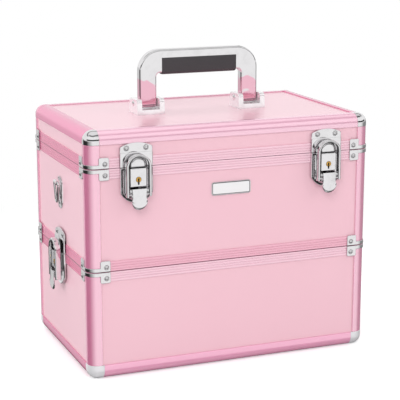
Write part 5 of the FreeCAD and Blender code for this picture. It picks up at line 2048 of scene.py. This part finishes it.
@dataclass
class Studio:
    """White floor and surround, soft lamps and the camera; tones go from 0 to 1 along each ramp."""

    yaw: float = 0.382
    pitch: float = 0.2276
    distance: float = 1.7027977
    lens: float = 118.7407
    sensor: float = 36.0
    aim: tuple[float, float, float] = (0.0052775, 0.0090415, 0.1794933)
    plain_light: float = 0.62
    ahead: Tones = ((0.0, 1.0), (0.05, 1.0), (0.07, 0.02), (0.26, 0.02), (0.3, 1.0), (0.76, 1.0),
                    (0.8, 0.1), (0.88, 0.1), (0.93, 0.9))
    behind: Tones = ((0.0, 0.95), (0.62, 0.95), (0.66, 0.15), (0.75, 0.15), (0.8, 0.9), (1.0, 0.9))
    sectors: Tones = ((0.0, 0.03), (0.03, 0.08), (0.062, 0.3), (0.1, 0.45), (0.178, 0.87), (0.216, 1.0),
                      (0.33, 1.0), (0.37, 0.8), (0.43, 0.28), (0.6, 0.28), (0.68, 0.12), (0.765, 0.12),
                      (0.79, 0.72), (0.825, 0.7), (0.85, 0.03), (1.0, 0.03))
    steep: Tones = ((0.0, 1.0), (0.45, 1.0), (0.52, 0.2), (0.75, 0.2), (1.0, 0.8))
    turn_blend: float = 0.15
    horizon_blend: float = 0.03
    floor_size: float = 14.0
    floor_drop: float = 0.0002
    floor_tone: float = 0.86
    floor_glow: float = 0.36
    floor_fade: Point = (0.3, 0.8)
    lamps: tuple[Softbox, ...] = (
        Softbox("key_softbox", (-1.3, -2.3, 2.0), 1.5, 28.5),
        Softbox("left_softbox", (-3.2, 0.3, 0.6), 1.8, 37.0),
        Softbox("right_softbox", (2.2, -1.6, 1.5), 1.6, 12.0),
        Softbox("overhead_softbox", (0.0, 0.3, 2.6), 1.8, 18.0))

    def build(self) -> None:
        """Make the surround, floor, lamps and camera."""
        bpy.context.scene.view_settings.view_transform = "Standard"
        self.surround()
        self.floor()
        for lamp in self.lamps:
            lamp.hang()
        self.camera()
        log.info("studio is set")

    @staticmethod
    def ramp(tree: Tree, value: Socket, stops: Tones) -> Socket:
        """Grey tones along a value from 0 to 1.

        Args:
            tree: the tree to build in.
            value: output that picks the tone.
            stops: positions and their tones.

        Returns:
            The tone's output.
        """
        node = wire(tree, "ShaderNodeValToRGB", {0: value})
        elements = node.color_ramp.elements
        while len(elements) < len(stops):
            elements.new(0.5)
        for element, (position, tone) in zip(elements, stops):
            element.position = position
            element.color = (tone, tone, tone, 1)
        return node.outputs[0]

    def surround(self) -> None:
        """White backdrop for the camera, plain light for dull surfaces, a shaded room for gloss."""
        world = bpy.data.worlds.new("surround")
        bpy.context.scene.world = world
        world.use_nodes = True
        tree = world.node_tree
        tree.nodes.clear()
        way = wire(tree, "ShaderNodeTexCoord")
        across, back, up = wire(tree, "ShaderNodeSeparateXYZ", {0: way.outputs["Generated"]}).outputs
        above = blend(tree, remap(tree, back, -self.turn_blend, self.turn_blend),
                      self.ramp(tree, up, self.ahead), self.ramp(tree, up, self.behind))
        turn = remap(tree, calc(tree, "ARCTAN2", back, across), -math.pi, math.pi)
        steep = self.ramp(tree, calc(tree, "MULTIPLY", up, -1.0), self.steep)
        below = blend(tree, 1.0, self.ramp(tree, turn, self.sectors), steep, blend_type="MULTIPLY")
        room = blend(tree, remap(tree, up, -self.horizon_blend, self.horizon_blend), below, above)
        plain, mirrored, white = [
            wire(tree, "ShaderNodeBackground", {"Color": colour, "Strength": strength}).outputs[0]
            for colour, strength in ((WHITE, self.plain_light), (room, 1.0), (WHITE, 1.0))]
        rays = wire(tree, "ShaderNodeLightPath").outputs
        gloss = either(tree, rays["Is Glossy Ray"], plain, mirrored)
        through = calc(tree, "MAXIMUM", rays["Is Camera Ray"], rays["Is Transmission Ray"])
        wire(tree, "ShaderNodeOutputWorld", {0: either(tree, through, gloss, white)})

    def floor(self) -> None:
        """White floor that keeps the case's soft contact shadow; gloss sees the surround through it."""
        bpy.ops.mesh.primitive_plane_add(size=self.floor_size, location=(0, 0, -self.floor_drop))
        floor = bpy.context.object
        floor.name = "studio_floor"
        made = bpy.data.materials.new("studio_floor_white")
        made.use_nodes = True
        tree = made.node_tree
        tree.nodes.clear()
        place = wire(tree, "ShaderNodeTexCoord")
        reach = wire(tree, "ShaderNodeVectorMath", {0: place.outputs["Object"]}, operation="LENGTH")
        clear = wire(tree, "ShaderNodeBsdfTransparent").outputs[0]
        matt = wire(tree, "ShaderNodeBsdfDiffuse", {"Color": (*[self.floor_tone] * 3, 1)}).outputs[0]
        glow, white = [wire(tree, "ShaderNodeEmission", {"Color": WHITE, "Strength": strength}).outputs[0]
                       for strength in (self.floor_glow, 1.0)]
        both = wire(tree, "ShaderNodeAddShader", {0: matt, 1: glow}).outputs[0]
        away = remap(tree, reach.outputs["Value"], *self.floor_fade, interpolation_type="SMOOTHSTEP")
        rays = wire(tree, "ShaderNodeLightPath").outputs
        seen = either(tree, rays["Is Camera Ray"], matt, either(tree, away, both, white))
        wire(tree, "ShaderNodeOutputMaterial", {0: either(tree, rays["Is Glossy Ray"], seen, clear)})
        floor.data.materials.append(made)

    def camera(self) -> None:
        """Stand the camera in front of the case, to its left and a little above."""
        look = Vector((math.sin(self.yaw) * math.cos(self.pitch),
                       math.cos(self.yaw) * math.cos(self.pitch), -math.sin(self.pitch)))
        data = bpy.data.cameras.new("camera")
        data.lens = self.lens
        data.sensor_width = self.sensor
        camera = add_object("camera", data)
        camera.location = Vector(self.aim) - look * self.distance
        camera.rotation_euler = look.to_track_quat("-Z", "Y").to_euler()
        bpy.context.scene.camera = camera


def main() -> None:
    """Build the whole case in order."""
    logging.basicConfig(level=logging.INFO, format="%(name)s: %(message)s")
    Studio().build()
    Boards().dress()
    EdgeProfiles().build()
    CornerHardware().build()
    DrawLatches(LatchRow.FRONT, "lid_front_catches", "middle_front_latch_plates",
                "middle_front_latch_pins").build()
    DrawLatches(LatchRow.SIDE, "middle_side_catches", "base_side_latch_plates",
                "base_side_latch_pins").build()
    StrapFittings().build()
    CarryHandle().build()
    BlankNameplate().build()
    RearHinges().build()
    Interior().build()
    PlainNodes().dress()


if __name__ == "__main__":
    main()
